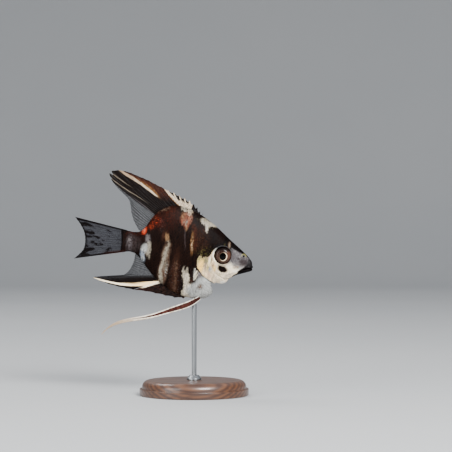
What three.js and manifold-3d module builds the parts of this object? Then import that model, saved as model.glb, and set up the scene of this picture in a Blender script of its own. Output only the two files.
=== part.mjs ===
// A marble angelfish about 58 mm long, held nose-down over a turned wooden base by one steel rod.
// Millimetres, +Z up. The fish faces +X and its right flank faces -Y.
// The fish is modelled level in a frame of its own (u forward, y to its left, w up) and is then
// pitched nose-down and lifted onto the rod. The origin is the middle of the whole, on the floor.
import * as THREE from "three";
import { mergeVertices } from "three/addons/utils/BufferGeometryUtils.js";
import Module from "manifold-3d";

const wasm = await Module();
wasm.setup();

// ---- Driving dimensions ----
const noseDown = THREE.MathUtils.degToRad(11.5);
const fishX = 6.98; // where the fish's own origin stands over the floor
const fishZ = 47.9;
const cutGap = 0.3; // width of the thin cuts between neighbouring parts
const finThickness = 0.56; // at the free edge of every fin
const finRootThickness = 0.9;

// Cross-sections of the body from the lips to the tail root. Each line runs from a point of the
// back to a point of the belly (u, w), and half is the body's greatest half width there.
const sections = [
  { back: [22.45, 0.6], belly: [23.1, -1.65], half: 0.9 },
  { back: [20.8, 2.15], belly: [21.8, -3.2], half: 1.55 },
  { back: [17.0, 4.6], belly: [17.6, -5.3], half: 2.4 },
  { back: [13.3, 6.8], belly: [14.7, -8.3], half: 3.2 },
  { back: [9.8, 9.05], belly: [11.7, -8.8], half: 3.8 },
  { back: [6.9, 10.65], belly: [11.1, -12.6], half: 3.95 },
  { back: [3.6, 12.2], belly: [8.4, -14.8], half: 3.9 },
  { back: [-0.3, 13.5], belly: [3.9, -15.2], half: 3.75 },
  { back: [-4.4, 14.15], belly: [-0.8, -14.4], half: 3.45 },
  { back: [-8.2, 13.1], belly: [-5.4, -12.45], half: 3.0 },
  { back: [-11.4, 10.5], belly: [-9.6, -9.7], half: 2.4 },
  { back: [-13.6, 6.4], belly: [-13.2, -6.5], half: 1.8 },
  { back: [-16.0, 2.95], belly: [-16.4, -4.35], half: 1.35 },
  { back: [-21.4, 2.75], belly: [-20.2, -4.75], half: 0.75 },
];
const lipRounding = 0.07; // share of the body's length over which each end rounds off
const tailRounding = 0.06;
const bodyColumns = 40;
const endCrowding = 0.45; // 0 spaces the columns evenly, 1 crowds them towards both ends
const bodyPoints = 24; // round one section

// The breast bulges under the gill covers and is pinched in above that. Both fade out behind.
const breast = {
  from: 7.5,
  full: 10.5,
  bulge: { w: -12.3, depth: 0.55, spread: 0.9 },
  pinch: { w: -9.7, depth: -0.75, spread: 0.75 },
};
const tailSwing = { from: -10, rate: 0.003 }; // millimetres sideways for each square millimetre

const eye = { u: 12.55, w: 0.75, radius: 2.75, depth: 1.6, centre: 1.95 };
const rod = { x: 10, radius: 0.8, foot: 2, top: 35.6 };
const base = { radius: 18, height: 5, foot: 0.4, side: 2.2, step: 0.8, bead: 2.2 };
const collar = { radius: 2.4, height: 1.6, side: 0.6, lip: 0.5 };

// ---- Curves and surfaces ----

// A smooth curve through evenly numbered points, for t from 0 to 1: a cubic spline whose slopes
// make the curvature run on from one span to the next.
function smoothCurve(points) {
  const n = points.length;
  const last = n - 1;
  const at = (i, k) => points[Math.min(Math.max(i, 0), last)][k];
  const slopes = points[0].map((_, k) => {
    const upper = [];
    const right = [];
    for (let i = 0; i < n; i++) {
      const inner = i > 0 && i < last;
      const lower = i > 0 ? 1 : 0;
      const middle = inner ? 4 : 2;
      const pivot = middle - lower * (upper[i - 1] ?? 0);
      upper.push(1 / pivot);
      right.push((3 * (at(i + 1, k) - at(i - 1, k)) - lower * (right[i - 1] ?? 0)) / pivot);
    }
    for (let i = last - 1; i >= 0; i--) right[i] -= upper[i] * right[i + 1];
    return right;
  });
  return (t) => {
    const i = Math.min(Math.floor(t * last), last - 1);
    const x = t * last - i;
    const rise = x * x * (3 - 2 * x);
    return slopes.map(
      (m, k) =>
        at(i, k) * (1 - rise) + at(i + 1, k) * rise +
        m[i] * x * (1 - x) * (1 - x) - m[i + 1] * x * x * (1 - x),
    );
  };
}

const lerp = THREE.MathUtils.lerp;
const smoothstep = THREE.MathUtils.smoothstep;
const backLine = smoothCurve(sections.map((s) => s.back));
const bellyLine = smoothCurve(sections.map((s) => s.belly));
const halfWidth = smoothCurve(sections.map((s) => [s.half]));

// A quarter-ellipse rise from 0 to 1 over the first part of the way.
function roundedEnd(t, share) {
  return t >= share ? 1 : Math.sqrt(1 - (1 - t / share) ** 2);
}

function breastShift(u, w) {
  const swell = ({ w: middle, depth, spread }) => depth * Math.exp(-(((w - middle) / spread) ** 2));
  return smoothstep(u, breast.from, breast.full) * (swell(breast.bulge) + swell(breast.pinch));
}

// The rear of the fish swings gently to its left.
function bend(u) {
  return tailSwing.rate * Math.min(0, u - tailSwing.from) ** 2;
}

// How square the section is: round over the belly in front, keeled along the back and behind.
function sectionPower(t, down) {
  const keel = lerp(0.95, 1.3, smoothstep(t, 0.25, 0.6));
  const belly = lerp(0.9, 1.15, smoothstep(t, 0.45, 0.7));
  return lerp(keel, belly, down);
}

// A point of the body's skin, t along the fish and angle round the section from the back.
function bodyPoint(t, angle) {
  const down = (1 - Math.cos(angle)) / 2;
  const top = backLine(t);
  const bottom = bellyLine(t);
  const u = lerp(top[0], bottom[0], down);
  const w = lerp(top[1], bottom[1], down);
  const ends = roundedEnd(t, lipRounding) * roundedEnd(1 - t, tailRounding);
  const sine = Math.sin(angle);
  const side = Math.sign(sine) * Math.abs(sine) ** sectionPower(t, down);
  return new THREE.Vector3(u + breastShift(u, w), bend(u) - halfWidth(t)[0] * ends * side, w);
}

// One closed surface through a row of loops with equally many points. Its ends are zipped shut
// between the first and last points, then the second and last but one, and so on.
function closedLoft(loops) {
  const count = loops[0].length;
  const positions = loops.flat().flatMap((p) => [p.x, p.y, p.z]);
  const faces = [];
  const quad = (a, b, c, d) => faces.push([a, b, c], [a, c, d]);
  for (let i = 0; i + 1 < loops.length; i++) {
    for (let k = 0; k < count; k++) {
      const next = (k + 1) % count;
      const row = i * count;
      quad(row + k, row + count + k, row + count + next, row + next);
    }
  }
  const lastRow = (loops.length - 1) * count;
  for (let k = 0; k < count / 2 - 1; k++) {
    quad(k, k + 1, count - 2 - k, count - 1 - k);
    quad(lastRow + count - 1 - k, lastRow + count - 2 - k, lastRow + k + 1, lastRow + k);
  }
  const raw = new THREE.BufferGeometry();
  raw.setAttribute("position", new THREE.Float32BufferAttribute(positions, 3));
  raw.setIndex(faces.flat());
  const merged = mergeVertices(raw, 1e-4);
  const index = Array.from(merged.index.array);
  const kept = [];
  for (let i = 0; i < index.length; i += 3) {
    const [a, b, c] = index.slice(i, i + 3);
    if (a !== b && b !== c && c !== a) kept.push(a, b, c);
  }
  merged.setIndex(kept);
  return merged;
}

// A geometry as a solid for joining and cutting, turned right side out if its faces point inward.
function solid(geometry) {
  const bare = new THREE.BufferGeometry();
  const source = geometry.index ? geometry.toNonIndexed() : geometry;
  bare.setAttribute("position", source.getAttribute("position"));
  const merged = mergeVertices(bare, 1e-4);
  const index = Array.from(merged.index.array);
  const made = (triVerts) => {
    const vertProperties = merged.attributes.position.array;
    return new wasm.Manifold(new wasm.Mesh({ numProp: 3, vertProperties, triVerts }));
  };
  const first = made(new Uint32Array(index));
  return first.volume() > 0 ? first : made(new Uint32Array(index.reverse()));
}

function geometryOf(manifold) {
  const mesh = manifold.getMesh();
  const geometry = new THREE.BufferGeometry();
  geometry.setAttribute("position", new THREE.BufferAttribute(mesh.vertProperties, 3));
  geometry.setIndex(new THREE.BufferAttribute(mesh.triVerts, 1));
  geometry.computeVertexNormals();
  return geometry;
}

// A slab right through the fish, with a given outline seen from its side. It spans y from low
// to high.
function sideSlab(outline, low, high) {
  const shape = new THREE.Shape(outline.map(([u, w]) => new THREE.Vector2(u, w)));
  const slab = new THREE.ExtrudeGeometry(shape, { depth: high - low, bevelEnabled: false });
  slab.rotateX(Math.PI / 2);
  slab.translate(0, high, 0);
  return solid(slab);
}

// The same curve moved sideways in the side view, to leave a thin cut beside it.
function moved(line, du, dw = 0) {
  return line.map(([u, w]) => [u + du, w + dw]);
}

// ---- Body and its thin cuts ----
const far = 60;
const bodyLoops = Array.from({ length: bodyColumns + 1 }, (_, i) => {
  const eased = (1 - Math.cos((Math.PI * i) / bodyColumns)) / 2;
  const t = lerp(i / bodyColumns, eased, endCrowding);
  return Array.from({ length: bodyPoints }, (_, k) =>
    bodyPoint(t, (2 * Math.PI * (k + 0.5)) / bodyPoints),
  );
});
const body = solid(closedLoft(bodyLoops));

// Behind the gill cover, over the shoulder to the nape.
const shoulderCurve = smoothCurve([
  [9.2, 14],
  [7.4, 9.4],
  [5.4, 4.4],
  [4.55, -0.8],
  [5.1, -4.6],
  [7.9, -7.3],
  [12.0, -9.05],
  [16.5, -10.4],
]);
const shoulder = Array.from({ length: 25 }, (_, i) => shoulderCurve(i / 24));
const ahead = [[40, -10.4], [40, 14]];
const headFront = sideSlab([...shoulder, ...ahead], -far, far);
const headFrontWide = sideSlab([...moved(shoulder, -cutGap, -0.12), ...ahead], -far, far);

// The root of the tail stem.
const stemLine = [[-14.6, 12], [-14.9, 3], [-14.9, -4], [-14.2, -14]];
const behind = [[-60, -14], [-60, 12]];
const stemSlab = sideSlab([...stemLine, ...behind], -far, far);
const stemSlabWide = sideSlab([...moved(stemLine, cutGap), ...behind], -far, far);

// The lower jaw, below the mouth slit and ahead of the jaw joint.
const jawLine = [
  [25, -0.95],
  [22.5, -1.05],
  [21.2, -1.75],
  [19.3, -2.9],
  [17.4, -4.1],
  [16.4, -7.5],
];
const under = [[16.4, -12], [25, -12]];
const jawSlab = sideSlab([...jawLine, ...under], -far, far);
const jawSlabWide = sideSlab([...moved(jawLine, -0.14, cutGap), ...under], -far, far);

// A flattened ball seen end-on from the side: the eyeball, or with margin its socket.
function eyeBall(side, margin) {
  const ball = new THREE.SphereGeometry(1, 16, 9);
  ball.scale(eye.radius + margin, eye.depth + margin, eye.radius + margin);
  ball.translate(eye.u, side * eye.centre, eye.w);
  return solid(ball);
}

// Gill covers: plates one millimetre deep on the cheeks, from the edge of the preopercle back.
const gillOutline = smoothCurve([
  [8.3, 2.6],
  [9.3, -0.6],
  [10.6, -3.6],
  [12.6, -6.2],
  [14.4, -8.0],
  [12.0, -8.8],
  [7.9, -7.0],
  [5.15, -4.5],
  [4.75, -0.9],
  [5.9, 2.2],
  [8.3, 2.6],
]);
const gillPoints = Array.from({ length: 30 }, (_, i) => gillOutline(i / 30));
const gillMiddle = [8.9, -3.2];
const gillWide = gillPoints.map(([u, w]) => {
  const out = [u - gillMiddle[0], w - gillMiddle[1]];
  const reach = 1 + cutGap / Math.hypot(...out);
  return [gillMiddle[0] + out[0] * reach, gillMiddle[1] + out[1] * reach];
});
const gillDepth = 1;

// side is -1 for the fish's right and +1 for its left.
function gillPlate(side, outline, depth) {
  const slab = side < 0 ? sideSlab(outline, -far, -0.4) : sideSlab(outline, 0.4, far);
  return slab.subtract(body.translate([0, -side * depth, 0]));
}

const skull = body
  .intersect(headFront)
  .subtract(jawSlabWide)
  .subtract(gillPlate(-1, gillWide, gillDepth + cutGap))
  .subtract(gillPlate(1, gillWide, gillDepth + cutGap))
  .subtract(eyeBall(-1, cutGap))
  .subtract(eyeBall(1, cutGap));
const gillRight = body.intersect(headFront).intersect(gillPlate(-1, gillPoints, gillDepth));
const gillLeft = body.intersect(headFront).intersect(gillPlate(1, gillPoints, gillDepth));
const jaw = body.intersect(jawSlab);

// The rod's socket in the belly, upright when the fish is nose-down.
function uprightPeg(radius, bottom, top) {
  const peg = new THREE.CylinderGeometry(radius, radius, top - bottom, 16);
  peg.rotateX(Math.PI / 2);
  peg.translate(rod.x - fishX, 0, (bottom + top) / 2 - fishZ);
  peg.rotateY(-noseDown);
  return solid(peg);
}
const trunk = body
  .subtract(headFrontWide)
  .subtract(stemSlabWide)
  .subtract(uprightPeg(rod.radius + cutGap, rod.top - 12, rod.top + cutGap));
const tailStem = body.intersect(stemSlab);

// ---- Fins ----

// A fin as a closed blade over its rays. root(r) and tip(r) give each ray's ends for r from 0
// to 1. The membrane between two rays stops short of their tips by a share that runs from the
// first number of notch to the second.
function finBlade({ rays, rows, root, tip, notch, arch = 0, sway = 0 }) {
  const loops = Array.from({ length: 2 * rays - 1 }, (_, i) => {
    const r = i / (2 * rays - 2);
    const [u0, w0] = root(r);
    const [u1, w1] = tip(r);
    const reach = i % 2 ? 1 - lerp(...notch, r) : 1;
    const spine = Array.from({ length: rows + 1 }, (_, j) => {
      const s = (reach * j) / rows;
      const lift = 4 * arch * s * (1 - s);
      const u = lerp(u0, u1, s) - lift * (w1 - w0);
      const w = lerp(w0, w1, s) + lift * (u1 - u0);
      const y = bend(u) + sway * s * s * Math.sin(9 * r + 1.5 * s);
      return { u, w, y, half: lerp(finRootThickness, finThickness, Math.min(1, 2 * s)) / 2 };
    });
    const left = spine.map((p) => new THREE.Vector3(p.u, p.y + p.half, p.w));
    const right = spine.map((p) => new THREE.Vector3(p.u, p.y - p.half, p.w));
    return [...left, ...right.reverse()];
  });
  return solid(closedLoft(loops));
}

// A root that follows the back or the belly from one section to another, just clear of it.
// crowd above 1 sets the first rays closer together than the last.
function rootAlong(line, from, to, outward, crowd = 1) {
  const last = sections.length - 1;
  const clearance = cutGap + 0.05;
  return (r) => {
    const t = lerp(from, to, r ** crowd) / last;
    const [u, w] = line(t);
    const before = line(Math.max(0, t - 0.002));
    const after = line(Math.min(1, t + 0.002));
    const run = Math.hypot(after[0] - before[0], after[1] - before[1]);
    const clear = (clearance * outward) / run;
    return [u + (after[1] - before[1]) * -clear, w + (after[0] - before[0]) * clear];
  };
}

const dorsalSpines = finBlade({
  rays: 12,
  rows: 3,
  root: rootAlong(backLine, 6.0, 8.98, -1),
  tip: smoothCurve([[3.3, 12.95], [0.2, 15.4], [-4.6, 17.25], [-10.2, 18.5], [-15.9, 20.1]]),
  notch: [0.3, 0.03],
  arch: 0.02,
});
const dorsalRays = finBlade({
  rays: 20,
  rows: 4,
  root: rootAlong(backLine, 9.14, 11.75, -1),
  tip: smoothCurve([
    [-16.6, 20.1],
    [-20.8, 21.1],
    [-25.1, 21.65],
    [-29.1, 20.6],
    [-28.8, 18.4],
    [-25.8, 15.7],
    [-22.2, 13.2],
    [-20.7, 10.6],
    [-19.6, 7.8],
    [-18.1, 5.3],
    [-16.5, 3.5],
  ]),
  notch: [0.04, 0.04],
  arch: 0.02,
  sway: 0.3,
});
const analSpines = finBlade({
  rays: 6,
  rows: 3,
  root: rootAlong(bellyLine, 7.05, 9.05, 1),
  tip: smoothCurve([[2.6, -15.9], [-1.1, -16.2], [-5.2, -16.1], [-9.2, -16.0], [-13.2, -16.3]]),
  notch: [0.16, 0.04],
  arch: -0.02,
});
const analRays = finBlade({
  rays: 18,
  rows: 4,
  root: rootAlong(bellyLine, 9.2, 11.65, 1, 1.25),
  tip: smoothCurve([
    [-14.6, -16.3],
    [-21.3, -16.2],
    [-27.8, -15.0],
    [-23.2, -14.0],
    [-18.9, -12.6],
    [-17.0, -10.4],
    [-16.3, -8.3],
    [-16.0, -6.4],
    [-16.0, -5.0],
  ]),
  notch: [0.04, 0.04],
  arch: -0.015,
  sway: -0.3,
});
const tailFin = finBlade({
  rays: 16,
  rows: 4,
  root: smoothCurve([[-21.8, 2.7], [-21.3, -0.95], [-20.6, -4.7]]),
  tip: smoothCurve([
    [-37.6, 3.3],
    [-35.2, 0.8],
    [-33.5, -1.8],
    [-32.9, -4.6],
    [-33.4, -7.2],
    [-35.2, -10.0],
  ]),
  notch: [0.02, 0.02],
  sway: 0.35,
});

// A blade carried along a middle line, thin in one direction and tapering to a thread.
function ribbon(middle, widthAt, columns) {
  const loops = Array.from({ length: columns + 1 }, (_, i) => {
    const t = i / columns;
    const [u, y, w] = middle(t);
    const next = middle(Math.min(1, t + 0.01));
    const last = middle(Math.max(0, t - 0.01));
    const run = new THREE.Vector2(next[0] - last[0], next[2] - last[2]).normalize();
    const half = widthAt(t) / 2;
    const ring = [[-1, 0.35], [-0.35, 1], [0.35, 1], [1, 0.35]];
    const sides = [...ring, ...ring.map(([a, b]) => [a, -b]).reverse()];
    return sides.map(([across, out]) =>
      new THREE.Vector3(
        u - run.y * half * across,
        y + (finThickness / 2) * out,
        w + run.x * half * across,
      ),
    );
  });
  return solid(closedLoft(loops));
}

// Pelvic fins hang from the breast, trail back under the fish and end in threads.
function pelvicFin(side) {
  const drop = side > 0 ? 0.5 : 0;
  const middle = smoothCurve([
    [7.9, side * 1.75, -15.2],
    [4.6, side * 2.1, -17.3 - 0.3 * drop],
    [-0.9, side * 2.8, -20.4 - 0.6 * drop],
    [-7.0, side * 3.3, -23.6 - drop],
    [-13.3, side * 3.5, -25.9 - 1.5 * drop],
    [-18.4, side * 3.4, -28.7 - 1.2 * drop],
    [-21.3, side * 3.2, -32.6 + drop],
  ]);
  const widths = smoothCurve([[1.0], [1.9], [1.6], [1.1], [0.75], [0.6], [0.56]]);
  return ribbon(middle, (t) => widths(t)[0], 18);
}

// Half the body's width at a point of its side view: the section line through that point is
// found by halving, and the section gives the width.
function flank(u, w) {
  let front = 0;
  let rear = 1;
  for (let i = 0; i < 30; i++) {
    const t = (front + rear) / 2;
    const [u0, w0] = backLine(t);
    const [u1, w1] = bellyLine(t);
    const side = (u - u0) * (w1 - w0) - (w - w0) * (u1 - u0);
    if (side > 0) front = t;
    else rear = t;
  }
  const [u0, w0] = backLine(front);
  const [u1, w1] = bellyLine(front);
  const down = ((u - u0) * (u1 - u0) + (w - w0) * (w1 - w0)) / ((u1 - u0) ** 2 + (w1 - w0) ** 2);
  const angle = Math.acos(1 - 2 * THREE.MathUtils.clamp(down, 0, 1));
  return halfWidth(front)[0] * Math.sin(angle) ** sectionPower(front, down);
}

// Pectoral fins spread from behind the gill covers, back and outward. The rays fan from top to
// bottom, longest a little under the middle.
const pectoral = {
  rays: 9,
  rows: 4,
  top: [4.6, -5.1],
  bottom: [4.9, -9.0],
  fan: [-0.02, 0.78], // downward turn of the first and last ray
  length: 10.2,
  shortest: 0.72, // share of the length that every ray has
  flare: 0.5, // turn away from the flank
  ripple: 0.35,
};

function pectoralFin(side) {
  const loops = Array.from({ length: pectoral.rays }, (_, i) => {
    const r = i / (pectoral.rays - 1);
    const u0 = lerp(pectoral.top[0], pectoral.bottom[0], r);
    const w0 = lerp(pectoral.top[1], pectoral.bottom[1], r);
    const y0 = flank(u0, w0) + cutGap + finThickness / 2;
    const fan = lerp(...pectoral.fan, r);
    const rounding = (1 - pectoral.shortest) * Math.sin(Math.PI * (0.2 + 0.75 * r));
    const reach = pectoral.length * (pectoral.shortest + rounding);
    const spine = Array.from({ length: pectoral.rows + 1 }, (_, j) => {
      const share = j / pectoral.rows;
      const s = share * reach;
      const outward = s * Math.sin(pectoral.flare) * (1 - 0.3 * r);
      return [
        u0 - s * Math.cos(fan) * Math.cos(pectoral.flare),
        y0 + outward + pectoral.ripple * Math.sin(3 * r) * share,
        w0 - s * Math.sin(fan),
      ];
    });
    const place = ([u, y, w], out) => new THREE.Vector3(u, side * (y + out), w);
    const outer = spine.map((p) => place(p, finThickness / 2));
    const inner = spine.map((p) => place(p, -finThickness / 2)).reverse();
    return [...outer, ...inner];
  });
  return solid(closedLoft(loops));
}

// ---- Stand ----

// A turned disc: flat underneath, a small chamfer at the foot, a step, a rounded bead and a blind
// hole for the rod.
function baseGeometry() {
  const hole = rod.radius + cutGap;
  const beadRadius = base.radius - base.step - base.bead;
  const beadFoot = base.height - base.bead;
  const beadSteps = 4;
  const profile = [
    new THREE.Vector2(0, 0),
    new THREE.Vector2(base.radius - base.foot, 0),
    new THREE.Vector2(base.radius, base.foot),
    new THREE.Vector2(base.radius, base.side),
    new THREE.Vector2(base.radius - base.step, base.side + base.foot),
  ];
  for (let i = 0; i <= beadSteps; i++) {
    const turn = (Math.PI / 2) * (i / beadSteps);
    const out = beadRadius + base.bead * Math.cos(turn);
    profile.push(new THREE.Vector2(out, beadFoot + base.bead * Math.sin(turn)));
  }
  profile.push(
    new THREE.Vector2(hole, base.height),
    new THREE.Vector2(hole, rod.foot),
    new THREE.Vector2(0, rod.foot),
  );
  return turned(profile, 36);
}

function collarGeometry() {
  const hole = rod.radius + cutGap;
  const low = base.height;
  const profile = [
    new THREE.Vector2(hole, low),
    new THREE.Vector2(collar.radius, low),
    new THREE.Vector2(collar.radius, low + collar.side),
    new THREE.Vector2(hole + collar.lip, low + collar.height),
    new THREE.Vector2(hole, low + collar.height),
    new THREE.Vector2(hole, low),
  ];
  return turned(profile, 20);
}

// A lathe profile (radius, height) turned about the rod's axis.
function turned(profile, segments) {
  const lathe = new THREE.LatheGeometry(profile, segments);
  lathe.rotateX(Math.PI / 2);
  lathe.translate(rod.x, 0, 0);
  return lathe;
}

function rodGeometry() {
  const tube = new THREE.CylinderGeometry(rod.radius, rod.radius, rod.top - rod.foot, 16);
  tube.rotateX(Math.PI / 2);
  tube.translate(rod.x, 0, (rod.top + rod.foot) / 2);
  return tube;
}

// ---- The named parts ----
const finishes = {
  marbled: { color: 0x4a3a33, roughness: 0.4, metalness: 0.1 },
  pearl: { color: 0xb9b49b, roughness: 0.3, metalness: 0.3 },
  darkFin: { color: 0x33211c, roughness: 0.5, metalness: 0 },
  clearFin: { color: 0x9a9a94, roughness: 0.4, metalness: 0 },
  eye: { color: 0x3a1f17, roughness: 0.1, metalness: 0 },
  wood: { color: 0x3b2416, roughness: 0.5, metalness: 0 },
  steel: { color: 0xb5b7ba, roughness: 0.3, metalness: 1 },
};

function named(name, geometry, finish) {
  const mesh = new THREE.Mesh(geometry, new THREE.MeshStandardMaterial(finishes[finish]));
  mesh.name = name;
  return mesh;
}

const fish = new THREE.Group();
fish.rotation.y = noseDown;
fish.position.set(fishX, 0, fishZ);
fish.add(
  named("head", geometryOf(skull), "marbled"),
  named("lower_jaw", geometryOf(jaw), "marbled"),
  named("gill_cover_right", geometryOf(gillRight), "pearl"),
  named("gill_cover_left", geometryOf(gillLeft), "pearl"),
  named("eye_right", geometryOf(eyeBall(-1, 0)), "eye"),
  named("eye_left", geometryOf(eyeBall(1, 0)), "eye"),
  named("trunk", geometryOf(trunk), "marbled"),
  named("tail_stem", geometryOf(tailStem), "marbled"),
  named("dorsal_fin_spines", geometryOf(dorsalSpines), "darkFin"),
  named("dorsal_fin_rays", geometryOf(dorsalRays), "darkFin"),
  named("anal_fin_spines", geometryOf(analSpines), "darkFin"),
  named("anal_fin_rays", geometryOf(analRays), "darkFin"),
  named("caudal_fin", geometryOf(tailFin), "clearFin"),
  named("pelvic_fin_right", geometryOf(pelvicFin(-1)), "darkFin"),
  named("pelvic_fin_left", geometryOf(pelvicFin(1)), "darkFin"),
  named("pectoral_fin_right", geometryOf(pectoralFin(-1)), "clearFin"),
  named("pectoral_fin_left", geometryOf(pectoralFin(1)), "clearFin"),
);

const stand = new THREE.Group();
stand.add(
  named("stand_base", baseGeometry(), "wood"),
  named("stand_collar", collarGeometry(), "steel"),
  named("stand_rod", rodGeometry(), "steel"),
);

const group = new THREE.Group();
group.add(fish, stand);

export default group;
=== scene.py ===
import math

import bpy
import numpy as np
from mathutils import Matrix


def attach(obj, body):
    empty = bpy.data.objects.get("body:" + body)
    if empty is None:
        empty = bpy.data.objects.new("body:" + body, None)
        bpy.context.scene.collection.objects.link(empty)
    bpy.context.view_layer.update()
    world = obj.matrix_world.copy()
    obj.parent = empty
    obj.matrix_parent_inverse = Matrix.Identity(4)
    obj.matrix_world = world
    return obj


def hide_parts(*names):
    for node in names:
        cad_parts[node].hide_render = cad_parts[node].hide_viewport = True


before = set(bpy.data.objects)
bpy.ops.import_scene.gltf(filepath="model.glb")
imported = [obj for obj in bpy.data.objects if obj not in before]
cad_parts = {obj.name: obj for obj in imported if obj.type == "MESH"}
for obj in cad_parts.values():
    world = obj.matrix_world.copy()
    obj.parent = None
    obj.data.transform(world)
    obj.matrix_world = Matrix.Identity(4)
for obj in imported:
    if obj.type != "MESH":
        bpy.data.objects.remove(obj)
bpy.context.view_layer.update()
dice = np.random.default_rng(11)
print("the packed model is loaded")

sideNames = {-1: "right", 1: "left"}
pose = {"noseDown": math.radians(11.5), "x": 6.98, "z": 47.9}


def toRow(points):
    # (u, y, w) turned about y by the nose-down angle, moved over the stand, and put into metres
    u, y, w = points[..., 0], points[..., 1], points[..., 2]
    c, s = math.cos(pose["noseDown"]), math.sin(pose["noseDown"])
    return np.stack([u * c + w * s + pose["x"], y, w * c - u * s + pose["z"]], -1) / 1000


def ease(x, low, high):
    # 3 x^2 - 2 x^3 from 0 at low to 1 at high
    x = np.clip((x - low) / (high - low), 0, 1)
    return x * x * (3 - 2 * x)


def bell(x, width):
    # e to the power of -(x / width)^2
    return np.exp(-((x / width) ** 2))


def between(a, b, share):
    return a + (b - a) * share


def unit(v):
    return v / np.maximum(np.linalg.norm(v, axis=-1, keepdims=True), 1e-12)


def smoothCurve(points):
    # Cubic spline through evenly numbered points p. Its slopes m solve
    # m[i-1] + 4 m[i] + m[i+1] = 3 (p[i+1] - p[i-1]), with 2 m + m' = 3 (p' - p) at the ends.
    p = np.array(points, float)
    n = len(p)
    system = 4 * np.eye(n) + np.eye(n, k=1) + np.eye(n, k=-1)
    system[0, 0] = system[-1, -1] = 2
    after = np.concatenate([p[1:], p[-1:]])
    before = np.concatenate([p[:1], p[:-1]])
    slopes = np.linalg.solve(system, 3 * (after - before))

    def at(t):
        x = np.clip(np.asarray(t, float), 0, 1) * (n - 1)
        i = np.minimum(x.astype(int), n - 2)
        x = (x - i)[..., None]
        rise = x * x * (3 - 2 * x)
        bulge = slopes[i] * x * (1 - x) ** 2 - slopes[i + 1] * x * x * (1 - x)
        return between(p[i], p[i + 1], rise) + bulge

    return at


def nearCurve(u, w, points, steps=48, reach=4):
    # Distance from (u, w) to a smooth curve, the share of its length there, and the side
    # (1 to its left, -1 to its right). Beyond reach of the curve's box the distance is 99.
    line = smoothCurve(points)(np.linspace(0, 1, steps + 1))
    start, run = line[:-1], np.diff(line, axis=0)
    low, high = line.min(0) - reach, line.max(0) + reach
    near = (u > low[0]) & (u < high[0]) & (w > low[1]) & (w < high[1])
    du = u[near][:, None] - start[:, 0]
    dw = w[near][:, None] - start[:, 1]
    share = np.clip((du * run[:, 0] + dw * run[:, 1]) / (run ** 2).sum(1), 0, 1)
    gap = np.hypot(du - share * run[:, 0], dw - share * run[:, 1])
    best = gap.argmin(1)
    pick = (np.arange(len(best)), best)
    distance, along, side = np.full(u.shape, 99.0), np.zeros(u.shape), np.ones(u.shape)
    distance[near] = gap[pick]
    along[near] = (best + share[pick]) / steps
    side[near] = np.sign(run[best, 0] * dw[pick] - run[best, 1] * du[pick])
    return distance, along, side


def gridTriangles(rows, columns, closeRows=False, closeColumns=False):
    # two triangles for each cell of a grid whose points are numbered row by row
    i = np.arange(rows if closeRows else rows - 1)[:, None]
    j = np.arange(columns if closeColumns else columns - 1)[None, :]
    nextI, nextJ = (i + 1) % rows, (j + 1) % columns
    a, b = i * columns + j, nextI * columns + j
    c, d = nextI * columns + nextJ, i * columns + nextJ
    return np.stack([np.stack([a, b, c], -1), np.stack([a, c, d], -1)], 2).reshape(-1, 3)


def shellTriangles(rows, columns):
    # a front grid and a back grid of the same size, numbered one after the other, with a rim
    front = gridTriangles(rows, columns)
    back = front[:, ::-1] + rows * columns
    top = np.arange(columns)
    bottom = top[::-1] + (rows - 1) * columns
    left = np.arange(rows)[::-1] * columns
    right = np.arange(rows) * columns + columns - 1
    rims = []
    for side in (top, right, bottom, left):
        a, b = side[:-1], side[1:]
        rims.append(np.stack([a, b, b + rows * columns], -1))
        rims.append(np.stack([a, b + rows * columns, a + rows * columns], -1))
    return np.concatenate([front, back, *rims])


def shell(middle, half):
    # the middle surface moved both ways along its own normal by half, front first
    down, across = np.gradient(middle, axis=0), np.gradient(middle, axis=1)
    normal = unit(np.cross(down, across))
    offset = normal * half[..., None]
    return np.concatenate([(middle + offset).reshape(-1, 3), (middle - offset).reshape(-1, 3)])


def addMesh(name, points, triangles, paint, uv=None, uvName="OFBake", values=None, crease=None):
    # points in metres, one uv pair and one of each of values for a point; the closed surface is
    # turned right side out by the sign of its volume
    corners = points[triangles]
    volume = np.einsum("ij,ij->i", corners[:, 0], np.cross(corners[:, 1], corners[:, 2])).sum()
    if volume < 0:
        triangles = triangles[:, ::-1]
    a, b, c = triangles.T
    triangles = np.ascontiguousarray(triangles[(a != b) & (b != c) & (c != a)])
    used, order = np.unique(triangles, return_inverse=True)
    points, triangles = points[used], order.reshape(-1, 3)
    mesh = bpy.data.meshes.new(name)
    mesh.vertices.add(len(points))
    mesh.vertices.foreach_set("co", points.astype(np.float32).ravel())
    mesh.loops.add(triangles.size)
    mesh.loops.foreach_set("vertex_index", triangles.astype(np.int32).ravel())
    mesh.polygons.add(len(triangles))
    mesh.polygons.foreach_set("loop_start", np.arange(0, triangles.size, 3, dtype=np.int32))
    mesh.polygons.foreach_set("use_smooth", np.ones(len(triangles), bool))
    mesh.update(calc_edges=True)
    if uv is not None:
        layer = mesh.uv_layers.new(name=uvName)
        layer.data.foreach_set("uv", uv[used][triangles.ravel()].astype(np.float32).ravel())
    for label, numbers in (values or {}).items():
        attribute = mesh.attributes.new(label, "FLOAT", "POINT")
        attribute.data.foreach_set("value", numbers[used].astype(np.float32))
    if crease:
        mesh.set_sharp_from_angle(angle=math.radians(crease))
    mesh.materials.append(paint.material)
    made = bpy.data.objects.new(name, mesh)
    bpy.context.scene.collection.objects.link(made)
    return made


def settle(piece, slotName, *nodes):
    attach(piece, "root")
    if nodes:
        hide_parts(*nodes)
    print(f"  {piece.name}: {len(piece.data.polygons)} triangles")


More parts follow.
